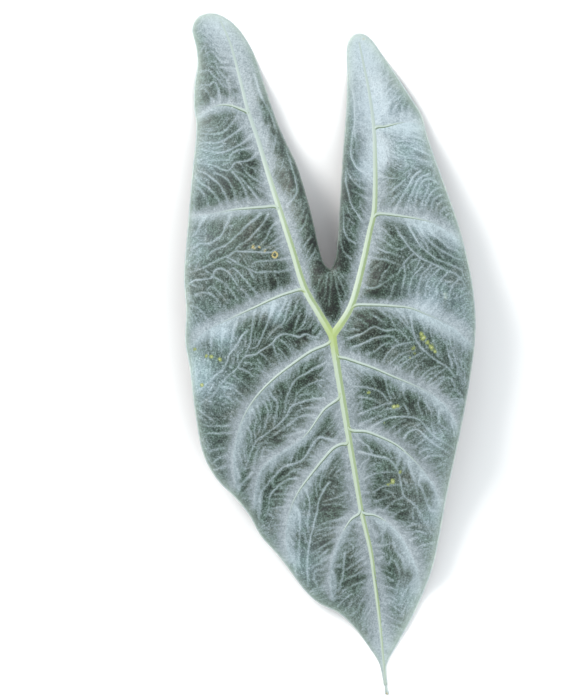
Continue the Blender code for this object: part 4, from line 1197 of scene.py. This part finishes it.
# Where a rib's or vein's green fades: from and to, in millimetres or as shares of its length.
RIB_GREEN_REACHES = ((170.0, 260.0), (50.0, 150.0), (70.0, 160.0))
VEIN_GREEN_SHARES = (0.4, 0.8)
# How far the yellow-green of the roots reaches, and how near the junction a root must be for it.
RIB_RIPE_REACH, VEIN_RIPE_REACH, RIPE_ROOTS = 24.0, 9.0, (10.0, 110.0)
# Where a ridge's green band lies, from its lit flank at -1 to its shaded one at 1. Over the shaded flank
# its own green is darkened as painted shade.
RIB_SHADE_BAND, VEIN_SHADE_BAND = (-0.05, 0.95), (0.15, 1.1)


class Ridge:
    """A rib or vein: its course, and its half widths and heights above and below the blade."""

    def __init__(self, path, nose_out, width, under_width, rise, depth, green_reach, ripe_reach):
        self.path = resampled(extended(path, nose_out, 0.0) if nose_out else path, RIDGE_STEP)
        self.along = length_along(self.path)
        share = self.along / self.along[-1]
        nose = np.sqrt(1.0 - np.clip(1.0 - self.along / RIDGE_NOSE, 0.0, 1.0) ** 2)
        flare = 1.0 + ROOT_FLARE * np.exp(-self.along / ROOT_FLARE_LENGTH)
        self.width = between(width, share) * nose * flare
        self.under_width = between(under_width, share) * nose
        self.rise = between(rise, share) * nose
        self.depth = between(depth, share) * nose
        self.green = 1.0 - smoothstep(*green_reach, self.along)
        self.ripe = 1.0 - smoothstep(0.0, ripe_reach, self.along)
        self.ripe *= 1.0 - smoothstep(*RIPE_ROOTS, np.linalg.norm(path[0]))


def make_ridges(name, ridges, material):
    """Ribs or veins that stand out of both faces of the blade, each a closed tapering bar."""
    across = np.linspace(-1.0, 1.0, RIDGE_POINTS)
    crest = 1.0 - np.abs(across) ** RIDGE_ROUNDNESS
    plans, lifts, ripes, sides, greens, faces, total = [], [], [], [], [], [], 0
    for ridge in ridges:
        normal = normals_of(ridge.path)[:, None]
        upper = ridge.path[:, None] + across[:, None] * normal * ridge.width[:, None, None]
        lower = ridge.path[:, None] - across[:, None] * normal * ridge.under_width[:, None, None]
        above = crest * ridge.rise[:, None] - RIDGE_SINK
        below = RIDGE_SINK - BLADE_THICKNESS - crest * ridge.depth[:, None]
        plans.append(np.concatenate([upper, lower], axis=1).reshape(-1, 2))
        lifts.append(np.concatenate([above, below], axis=1).ravel())
        count = 2 * RIDGE_POINTS
        ripes.append(np.repeat(ridge.ripe, count))
        greens.append(np.repeat(ridge.green, count))
        # Sign each point's place across the ridge so that 1 is the flank away from the key light, which
        # gets the painted shade.
        shaded = np.sign(normal[:, 0] @ SHADED_WAY)
        sides.append(np.outer(shaded, np.concatenate([across, np.zeros(RIDGE_POINTS)])).ravel())
        faces += [tuple(total + k for k in face) for face in ring_faces(len(ridge.path), count)]
        total += len(ridge.path) * count
    plan, lift = np.vstack(plans), np.concatenate(lifts)
    height = np.maximum(face_height(plan) + lift, 0.0)
    piece = new_piece(name, row_frame(plan, height), faces, (material,))
    for value, parts in (("ripe", ripes), ("across", sides), ("green", greens)):
        add_values(piece, value, np.concatenate(parts))
    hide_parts("blade")


NET_SIDES = 3


def make_net(net, material):
    """The fine veins of the face, each a low three-sided ridge that thins at its outer end."""
    plans, lifts, glows, faces, total = [], [], [], [], 0
    for vein in net:
        taper = vein.strengths(len(vein.path))
        foot = taper * np.exp(-((NET_HALF_WIDTH * taper / NET_GLOW_WIDTH) ** 2))
        glows.append(np.stack([foot, taper, foot], axis=1).ravel())
        offset = normals_of(vein.path) * (NET_HALF_WIDTH * taper)[:, None]
        across = np.stack([vein.path + offset, vein.path, vein.path - offset], axis=1)
        plans.append(across.reshape(-1, 2))
        sunk = np.full(len(vein.path), -NET_SINK)
        lifts.append(np.stack([sunk, NET_RISE * taper, sunk], axis=1).ravel())
        faces += [tuple(total + k for k in face) for face in ring_faces(len(vein.path), NET_SIDES)]
        total += NET_SIDES * len(vein.path)
    plan, lift = np.vstack(plans), np.concatenate(lifts)
    places = Places(plan)
    piece = new_piece("leaf_net", row_frame(plan, places.height() + lift), faces, (material,))
    add_face_values(piece, places, np.concatenate(glows))
    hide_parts("blade")


def make_rim(material):
    """The pale rolled edge all round the blade, a flattened tube."""
    centre, inward = inset_margin(OUTLINE_STEP, RIM_HALF_WIDTH)
    turn = np.arange(RIM_SIDES) * 2 * math.pi / RIM_SIDES
    out = -np.cos(turn) * RIM_HALF_WIDTH
    up = np.sin(turn) * RIM_HALF_THICKNESS
    plan = (centre[:, None] + inward[:, None] * out[:, None]).reshape(-1, 2)
    height = np.repeat(face_height(centre), RIM_SIDES) - BLADE_THICKNESS / 2 + np.tile(up, len(centre))
    faces = ring_faces(len(centre), RIM_SIDES, closed=True)
    piece = new_piece("leaf_rim", row_frame(plan, np.maximum(height, 0.0)), faces, (material,))
    paleness, _ = edge_paleness(project(MARGIN_PATH, centre)[1])
    add_values(piece, "pale", np.repeat(paleness, RIM_SIDES))
    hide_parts("blade")


class Graph:
    """A material's nodes, with a short method for each kind that is used."""

    def __init__(self, name):
        self.material = bpy.data.materials.new(name)
        self.material.use_nodes = True
        self.tree = self.material.node_tree
        self.shader = self.tree.nodes["Principled BSDF"]

    def feed(self, socket, value):
        if isinstance(value, bpy.types.NodeSocket):
            self.tree.links.new(value, socket)
        else:
            socket.default_value = value

    def add(self, kind, inputs, **settings):
        node = self.tree.nodes.new(kind)
        for name, value in settings.items():
            setattr(node, name, value)
        for key, value in inputs.items():
            self.feed(node.inputs[key], value)
        return node

    def set(self, **inputs):
        """Feeds the shader's own sockets; a name's underscores stand for spaces."""
        for name, value in inputs.items():
            self.feed(self.shader.inputs[name.replace("_", " ")], value)

    def times(self, a, b):
        return self.add("ShaderNodeMath", {0: a, 1: b}, operation="MULTIPLY").outputs[0]

    def sum(self, *terms, base=0.0):
        """The base plus each value times its weight."""
        total = base
        for value, weight in terms:
            inputs = {0: value, 1: weight, 2: total}
            total = self.add("ShaderNodeMath", inputs, operation="MULTIPLY_ADD").outputs[0]
        return total

    def ramp(self, value, stops):
        """A colour read off evenly changing stops, as (position, colour)."""
        node = self.add("ShaderNodeValToRGB", {"Fac": value})
        elements = node.color_ramp.elements
        while len(elements) < len(stops):
            elements.new(position=0.5)
        for element, (position, tint) in zip(elements, stops):
            element.position = position
            element.color = tint
        return node.outputs["Color"]

    def clamped(self, value):
        return self.add("ShaderNodeClamp", {"Value": value}).outputs[0]

    def step(self, value, low, high):
        """0 below low, 1 above high and smooth between; low may be the larger."""
        inputs = {"Value": value, "From Min": low, "From Max": high}
        return self.add("ShaderNodeMapRange", inputs, interpolation_type="SMOOTHSTEP").outputs[0]

    def value(self, name):
        return self.add("ShaderNodeAttribute", {}, attribute_name=name).outputs["Fac"]

    def vector(self, name, stretch):
        made = self.add("ShaderNodeAttribute", {}, attribute_name=name).outputs["Vector"]
        return self.add("ShaderNodeVectorMath", {0: made, 1: stretch}, operation="MULTIPLY").outputs[0]

    def place(self, per_mm):
        """The surface's own place, in units of so many a millimetre."""
        made = self.add("ShaderNodeTexCoord", {}).outputs["Object"]
        inputs = {0: made, "Scale": per_mm / MM}
        return self.add("ShaderNodeVectorMath", inputs, operation="SCALE").outputs[0]

    def noise(self, vector, detail, roughness=0.5):
        inputs = {"Vector": vector, "Scale": 1.0, "Detail": detail, "Roughness": roughness}
        return self.add("ShaderNodeTexNoise", inputs).outputs["Fac"]

    def cells(self, vector):
        """0 in the middle of each of many small cells, and more towards its border."""
        inputs = {"Vector": vector, "Scale": 1.0}
        return self.add("ShaderNodeTexVoronoi", inputs, voronoi_dimensions="2D").outputs["Distance"]

    def mix(self, share, one, other, blend="MIX"):
        """Two colours blended, by the mix node's own numbers for its colour sockets."""
        inputs = {0: share, 6: one, 7: other}
        return self.add("ShaderNodeMix", inputs, data_type="RGBA", blend_type=blend).outputs[2]

    def bump(self, height, depth_mm):
        inputs = {"Height": height, "Distance": depth_mm * MM, "Strength": 1.0}
        self.feed(self.shader.inputs["Normal"], self.add("ShaderNodeBump", inputs).outputs[0])


def linear(shown):
    """The light that an eight-bit value stands for on a screen, by the sRGB rule."""
    share = shown / 255.0
    return share / 12.92 if shown <= 10.3 else ((share + 0.055) / 1.055) ** 2.4


def colour(red, green, blue):
    """A colour given as the eight-bit values that it shows on a screen."""
    return (linear(red), linear(green), linear(blue), 1.0)


DEEPEST_GREEN, DEEP_GREEN = colour(8, 15, 11), colour(36, 51, 41)
SHADED_GREEN = colour(83, 99, 92)
SILVER = colour(131, 144, 148)
BRIGHT_SILVER = colour(180, 194, 198)
# A painted bluish sky reflection, mixed in where the face is frosted.
BLUE_SHEEN = colour(156, 180, 192)
PALEST = colour(208, 219, 224)
LILAC_TINT, GREEN_TINT, BROWN_TINT = colour(255, 250, 250), colour(242, 255, 242), colour(255, 246, 238)
# The rib's green is its own green darkened as painted shade, for its flank away from the key light.
RIB_PALE, RIB_GREEN_AND_SHADE, RIB_END = colour(181, 195, 174), colour(144, 163, 122), colour(168, 182, 176)
JUNCTION_GREEN = colour(164, 182, 108)
# The vein's green is its own green darkened as painted shade, for its flank away from the key light.
VEIN_PALE, VEIN_GREEN_AND_SHADE, VEIN_END = colour(176, 190, 182), colour(108, 126, 102), colour(152, 165, 168)
RIM_PALE, RIM_DARK, EDGE_MINT = colour(204, 217, 208), colour(70, 84, 74), colour(180, 195, 184)
TAN, LIME, CREAM = colour(178, 166, 112), colour(134, 146, 82), colour(184, 190, 140)
MAROON, PALE_MAROON = colour(72, 46, 52), colour(96, 72, 70)
STALK_OLIVE, STALK_PALE = colour(92, 92, 56), colour(140, 146, 100)
STALK_BROWN = colour(62, 50, 38)
PITH, PALE_PITH = colour(170, 178, 130), colour(196, 200, 160)

# The face's colours from its darkest tone to its palest. Tone 0 is the dark green.
TONES = (
    (-0.25, DEEPEST_GREEN), (0.0, DEEP_GREEN), (0.34, SHADED_GREEN), (0.68, SILVER),
    (1.0, BRIGHT_SILVER), (1.35, PALEST),
)
TONE_BELOW, TONE_RANGE = -TONES[0][0], TONES[-1][0] - TONES[0][0]
FACE_TONES = [((tone + TONE_BELOW) / TONE_RANGE, tint) for tone, tint in TONES]

# How fast the patterns that follow the fine veins change from vein to vein, and along a vein.
STRAND_STRETCH, HAIR_STRETCH, CELL_STRETCH = (0.9, 0.12, 1.0), (1.3, 0.26, 1.0), (0.5, 0.32, 1.0)
NOISE_MEAN, CELL_MEAN = 0.5, 0.45
# How far the strands fray the silver's border, and between which depths the silver sets in.
STRAND_FRAY, SILVER_STARTS = 0.7, (-0.7, 0.5)
# What each pattern adds to the tone.
HAIR_TONE, CELL_TONE, SPECKLE_TONE, MOTTLE_TONE, CLOUD_TONE = 0.5, 0.3, 2.0, 0.6, 0.3
# How strongly they show on silver, and how much more so where it is bare and where it is frosted or
# carries the painted sky reflection.
SILVER_CONTRAST, BARE_CONTRAST, FROST_AND_SHEEN_CONTRAST = 0.4, 0.6, 0.25
# The tone of bare green and what a dark patch takes from it, of silver's rim and how it rises inwards,
# and what frost and painted sky reflection add.
GROUND_TONE, DARK_DROP, SILVER_TONE, SILVER_RISE, FROST_AND_SHEEN_TONE = 0.23, 0.34, -0.07, 0.26, 0.26
# The tone of a fine vein, and what the silver, the frost with its painted sky reflection and the speckle
# add to it.
VEIN_TONE, VEIN_IN_SILVER, VEIN_IN_FROST_AND_SHEEN, VEIN_SPECKLE = 0.88, 0.08, 0.3, 0.5
# Between which values of their patterns the tinges and the blemishes set in.
GREENER, BROWNER = (0.45, 0.6), (0.45, 0.32)
RAGGEDNESS, TAN_STARTS, LIME_STARTS, CREAM_STARTS = 1.6, (1.25, 1.6), (1.2, 1.65), (1.7, 1.9)
# How much of the painted blue sky reflection the frost brings, how mint the edge is and how yellow-green
# the junction.
BLUE_SHEEN_SHARE, MINT_AT_EDGE, JUNCTION_COVER = 0.42, 0.85, 0.85
FACE_ROUGHNESS, SPECKLE_ROUGHNESS, SKIN_IOR = 0.34, 0.2, 1.45
HAIR_BUMP = 0.5
# How far a rib's grain wanders its green band, and how soft the band's borders are.
GRAIN_WANDER, BAND_BLUR = 0.3, 0.25
STALK_PALE_REACH = 90.0


def tone_of_face(g, halo, bare, hairs, speckle):
    """The tone between the fine veins: dark green or silver, with its patterns."""
    cells = g.cells(g.vector("flow", CELL_STRETCH))
    mottle = g.noise(g.place(per_mm=0.35), detail=2.0)
    cloud = g.noise(g.place(per_mm=0.05), detail=3.0)
    # Frost, which at the hind lobes and the drip tip is a painted sky reflection.
    frost_and_sheen = g.value("frost_and_sheen")
    streaks = g.times(g.sum((hairs, 1.0), base=-NOISE_MEAN), g.value("streaks"))
    texture = g.sum(
        (streaks, HAIR_TONE), (cells, CELL_TONE), (speckle, SPECKLE_TONE), (mottle, MOTTLE_TONE),
        base=-CELL_TONE * CELL_MEAN - (SPECKLE_TONE + MOTTLE_TONE) * NOISE_MEAN,
    )
    contrast = g.sum((bare, BARE_CONTRAST), (frost_and_sheen, FROST_AND_SHEEN_CONTRAST), base=SILVER_CONTRAST)
    ground = g.sum((g.value("dark"), -DARK_DROP), base=GROUND_TONE)
    inwards = g.clamped(g.value("cover"))
    silver = g.sum((g.value("level"), 1.0), (inwards, SILVER_RISE), base=SILVER_TONE)
    return g.sum(
        (g.times(ground, bare), 1.0), (g.times(silver, halo), 1.0), (g.times(texture, contrast), 1.0),
        (frost_and_sheen, FROST_AND_SHEEN_TONE), (cloud, CLOUD_TONE), base=-CLOUD_TONE * NOISE_MEAN,
    )


def tinged(g, body, halo, unveined):
    """The face's colour with its lilac silver, greener and browner clouds, frost with its painted blue
    sky reflection, and pale edge.
    """
    body = g.mix(g.times(halo, g.value("lilac")), body, LILAC_TINT, "MULTIPLY")
    tinge = g.noise(g.place(per_mm=0.09), detail=3.0, roughness=0.6)
    for starts, tint in ((GREENER, GREEN_TINT), (BROWNER, BROWN_TINT)):
        body = g.mix(g.times(unveined, g.step(tinge, *starts)), body, tint, "MULTIPLY")
    # The painted blue sky reflection, where the face is frosted.
    body = g.mix(g.clamped(g.times(g.value("frost_and_sheen"), BLUE_SHEEN_SHARE)), body, BLUE_SHEEN)
    return g.mix(g.clamped(g.times(g.value("edge"), MINT_AT_EDGE)), body, EDGE_MINT)


def blemished(g, body):
    """The face's colour with its small tan, yellow-green and cream marks."""
    ragged = g.noise(g.place(per_mm=0.5), detail=3.0, roughness=0.8)
    tan, lime = (g.sum((g.value(name), 1.0), (ragged, RAGGEDNESS)) for name in ("tan", "lime"))
    body = g.mix(g.step(tan, *TAN_STARTS), body, TAN)
    body = g.mix(g.step(lime, *LIME_STARTS), body, LIME)
    return g.mix(g.step(lime, *CREAM_STARTS), body, CREAM)


def face_material():
    """The upper face: dark green, silvered along its veins in feathered strands and in speckles."""
    g = Graph("leaf_face")
    strands = g.noise(g.vector("flow", STRAND_STRETCH), detail=3.0, roughness=0.6)
    hairs = g.noise(g.vector("flow", HAIR_STRETCH), detail=2.0, roughness=0.6)
    speckle = g.noise(g.place(per_mm=1.0), detail=2.0, roughness=0.75)
    depth = g.sum((g.value("cover"), 1.0), (strands, STRAND_FRAY), base=-STRAND_FRAY * NOISE_MEAN)
    halo = g.step(depth, *SILVER_STARTS)
    bare = g.sum((halo, -1.0), base=1.0)
    tone = tone_of_face(g, halo, bare, hairs, speckle)
    vein_tone = g.sum(
        (halo, VEIN_IN_SILVER), (g.value("frost_and_sheen"), VEIN_IN_FROST_AND_SHEEN), (speckle, VEIN_SPECKLE),
        base=VEIN_TONE - VEIN_SPECKLE * NOISE_MEAN,
    )
    glow = g.clamped(g.value("glow"))
    raised = g.times(glow, g.sum((vein_tone, 1.0), (tone, -1.0)))
    tone = g.sum((tone, 1.0), (raised, 1.0))
    body = g.ramp(g.times(g.sum((tone, 1.0), base=TONE_BELOW), 1.0 / TONE_RANGE), FACE_TONES)
    unveined = g.times(bare, g.sum((glow, -1.0), base=1.0))
    body = blemished(g, tinged(g, body, halo, unveined))
    roughness = g.sum((speckle, SPECKLE_ROUGHNESS), base=FACE_ROUGHNESS)
    g.set(Base_Color=body, Roughness=roughness, IOR=SKIN_IOR)
    g.bump(g.sum((speckle, 1.0), (hairs, HAIR_BUMP)), depth_mm=0.12)
    return g.material


def ridge_material(name, pale, green, ends, shade_band):
    """A rib or vein: pale on both flanks, green in a band over its shaded flank that is partly painted
    shade, yellow-green at its root.
    """
    g = Graph(name)
    grain = g.noise(g.place(per_mm=0.5), detail=3.0)
    across = g.sum((g.value("across"), 1.0), (grain, GRAIN_WANDER), base=-GRAIN_WANDER * NOISE_MEAN)
    low, high = shade_band
    green_and_shade_band = g.times(g.step(across, low, low + BAND_BLUR), g.step(across, high, high - BAND_BLUR))
    tone = g.mix(g.value("green"), ends, pale)
    tone = g.mix(g.times(green_and_shade_band, g.value("green")), tone, green)
    tone = g.mix(g.times(g.value("ripe"), JUNCTION_COVER), tone, JUNCTION_GREEN)
    g.set(Base_Color=tone, Roughness=0.4, IOR=SKIN_IOR)
    g.bump(grain, depth_mm=0.08)
    return g.material


def rim_material():
    """The rolled margin: pale and mottled, or dark where the margin's paleness is low."""
    g = Graph("pale_margin")
    grain = g.noise(g.place(per_mm=0.3), detail=3.0)
    pale = g.mix(g.step(grain, low=0.3, high=0.7), RIM_PALE, BRIGHT_SILVER)
    g.set(Base_Color=g.mix(g.value("pale"), RIM_DARK, pale), Roughness=0.42)
    return g.material


def underside_material():
    """The underside: satin maroon, finely mottled."""
    g = Graph("leaf_underside")
    mottle = g.noise(g.place(per_mm=0.25), detail=5.0, roughness=0.65)
    g.set(Base_Color=g.mix(g.step(mottle, low=0.3, high=0.8), MAROON, PALE_MAROON), Roughness=0.4)
    g.bump(mottle, depth_mm=0.15)
    return g.material


def stalk_material():
    """The stalk: olive mottled with brown, paler towards the blade."""
    g = Graph("stalk_skin")
    mottle = g.noise(g.place(per_mm=0.3), detail=5.0, roughness=0.7)
    olive = g.mix(g.step(g.value("along"), STALK_PALE_REACH, 0.0), STALK_OLIVE, STALK_PALE)
    g.set(Base_Color=g.mix(g.step(mottle, low=0.48, high=0.68), olive, STALK_BROWN), Roughness=0.38)
    g.bump(mottle, depth_mm=0.1)
    return g.material


def pith_material():
    """The stalk's cut end."""
    g = Graph("stalk_pith")
    fibres = g.noise(g.place(per_mm=1.6), detail=2.0)
    g.set(Base_Color=g.mix(g.step(fibres, low=0.45, high=0.65), PITH, PALE_PITH), Roughness=0.6)
    return g.material


STALK_STEP, STALK_SIDES = 1.5, 28
STALK_LOBES, STALK_LOBE_DEPTH = 9, 0.018


def stalk_course(seat):
    """Centreline of the stalk in millimetres, from its seat under the blade to its cut end."""
    heading = np.array(STALK_END) / np.linalg.norm(STALK_END)
    run = np.linalg.norm(STALK_END) - STALK_BEND_REACH
    top = seat - STALK_SEAT_GAP
    bend_top = top - STALK_DROP
    run_top = bend_top - STALK_BEND_FALL
    head = [(0.0, 0.0, top), (0.0, 0.0, bend_top)]
    for reach_share, fall_share in STALK_BEND:
        place = heading * STALK_BEND_REACH * reach_share
        head.append((*place, bend_top - STALK_BEND_FALL * fall_share))
    tail = []
    for k in range(STALK_RUN_POINTS + 1):
        share = k / STALK_RUN_POINTS
        fall_left = (run_top - STALK_END_RADIUS) * (1.0 - share) ** STALK_FALL_POWER
        place = heading * (STALK_BEND_REACH + run * share)
        tail.append((*place, STALK_END_RADIUS + fall_left))
    path = np.vstack([smooth_path(head, STALK_STEP), smooth_path(tail, STALK_STEP)[1:]])
    return resampled(path, STALK_STEP)


def make_stalk(skin, pith):
    """The stalk: a faintly lobed round tube with a pale cut end."""
    seat = face_height(np.zeros((1, 2)))[0] + RIB_RISE[0] - BOSS_THICKNESS
    path = stalk_course(seat)
    along = length_along(path)
    tangent = np.gradient(path, axis=0)
    tangent /= np.linalg.norm(tangent, axis=1)[:, None]
    sideways = np.array([STALK_END[1], -STALK_END[0], 0.0]) / np.linalg.norm(STALK_END)
    upward = np.cross(sideways, tangent)
    turn = np.arange(STALK_SIDES) * 2 * math.pi / STALK_SIDES
    lobed = 1.0 - STALK_LOBE_DEPTH * (1.0 + np.cos(STALK_LOBES * turn))
    radius = between((STALK_TOP_RADIUS, STALK_END_RADIUS), along / along[-1])[:, None] * lobed
    ring = path[:, None] + (radius * np.cos(turn))[..., None] * sideways
    ring += (radius * np.sin(turn))[..., None] * upward[:, None]
    places = ring.reshape(-1, 3)
    faces = ring_faces(len(path), STALK_SIDES)
    slot = np.zeros(len(faces), np.int32)
    slot[-1] = 1
    in_frame = row_frame(places[:, :2], np.maximum(places[:, 2], 0.0))
    stalk = new_piece("leaf_stalk", in_frame, faces, (skin, pith), slot)
    add_values(stalk, "along", np.repeat(along, STALK_SIDES))
    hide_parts("petiole")


FLOOR_SIZE, FLOOR_DROP = 12.0, 0.0003
FLOOR_COLOUR = colour(248, 248, 247)
PHOTO_WIDTH, PHOTO_HEIGHT = 583, 700
MM_PER_PIXEL = 0.6588
LEAF_CENTRE_PIXEL = (329.5, 354.5)
CAMERA_HEIGHT = 4.0
SKY_COLOUR, SKY_STRENGTH = (0.93, 0.97, 1.0, 1.0), 0.6
# The lamps, as (name, place in metres, width, power in watts, tint).
LAMPS = (
    ("key", (-1.3, 1.1, 1.5), 0.9, 33.0, (1.0, 0.99, 0.97)),
    ("back", (0.15, 2.1, 2.1), 1.8, 16.0, (0.9, 0.96, 1.0)),
    ("front", (0.9, -1.9, 2.2), 1.8, 42.0, (0.93, 0.97, 1.0)),
)


def make_stage():
    """A plain pale floor, soft light from the upper left, and broad cool light behind and in front."""
    bpy.ops.mesh.primitive_plane_add(size=FLOOR_SIZE, location=(0.0, 0.0, -FLOOR_DROP))
    floor = bpy.context.object
    floor.name = "floor"
    g = Graph("floor_paper")
    g.set(Base_Color=FLOOR_COLOUR, Roughness=0.9)
    floor.data.materials.append(g.material)

    world = bpy.data.worlds.new("studio")
    world.use_nodes = True
    sky = world.node_tree.nodes["Background"]
    sky.inputs["Color"].default_value = SKY_COLOUR
    sky.inputs["Strength"].default_value = SKY_STRENGTH
    bpy.context.scene.world = world
    for lamp in LAMPS:
        add_area_light(*lamp)


def add_area_light(name, location, size, power, tint):
    """A square lamp that faces the leaf."""
    light = bpy.data.lights.new(name, "AREA")
    light.size = size
    light.energy = power
    light.color = tint
    lamp = bpy.data.objects.new(name, light)
    lamp.location = location
    lamp.rotation_euler = (-Vector(location)).to_track_quat("-Z", "Y").to_euler()
    bpy.context.scene.collection.objects.link(lamp)


def make_camera():
    """A long lens straight above, framed as the photograph is."""
    camera = bpy.data.cameras.new("camera")
    camera.sensor_fit = "VERTICAL"
    camera.angle_y = 2 * math.atan(PHOTO_HEIGHT * MM_PER_PIXEL * MM / 2 / CAMERA_HEIGHT)
    aim = bpy.data.objects.new("camera", camera)
    x = (PHOTO_WIDTH / 2 - LEAF_CENTRE_PIXEL[0]) * MM_PER_PIXEL * MM
    y = (LEAF_CENTRE_PIXEL[1] - PHOTO_HEIGHT / 2) * MM_PER_PIXEL * MM
    aim.location = (x, y, CAMERA_HEIGHT)
    bpy.context.scene.collection.objects.link(aim)
    bpy.context.scene.camera = aim


def make_leaf():
    """The whole leaf, in six pieces."""
    net = leaf_net()
    ribs = [
        Ridge(
            smooth_path(rib, RIDGE_STEP), RIDGE_NOSE, RIB_HALF_WIDTH, UNDER_RIB_HALF_WIDTH,
            RIB_RISE, RIB_DEPTH, reach, RIB_RIPE_REACH,
        )
        for rib, reach in zip(RIB_COURSES, RIB_GREEN_REACHES)
    ]
    veins = [vein_path(vein, RIDGE_STEP) for vein in VEIN_COURSES]
    veins = [vein[:round(len(vein) * share)] for vein, share in zip(veins, RIDGE_SHARES)]
    veins = [
        Ridge(
            vein, 0.0, VEIN_HALF_WIDTH, UNDER_VEIN_HALF_WIDTH, PRIMARY_RISE, VEIN_DEPTH,
            length * np.array(VEIN_GREEN_SHARES), VEIN_RIPE_REACH,
        )
        for vein, length in zip(veins, VEIN_LENGTHS)
    ]
    face = face_material()
    make_blade(net, face, underside_material())
    make_ridges("leaf_ribs", ribs, ridge_material("rib", RIB_PALE, RIB_GREEN_AND_SHADE, RIB_END, RIB_SHADE_BAND))
    make_ridges(
        "leaf_primary_veins", veins,
        ridge_material("primary_vein", VEIN_PALE, VEIN_GREEN_AND_SHADE, VEIN_END, VEIN_SHADE_BAND),
    )
    make_net(net, face)
    make_rim(rim_material())
    make_stalk(stalk_material(), pith_material())


make_leaf()
make_stage()
make_camera()
bpy.context.scene.view_settings.view_transform = "Standard"
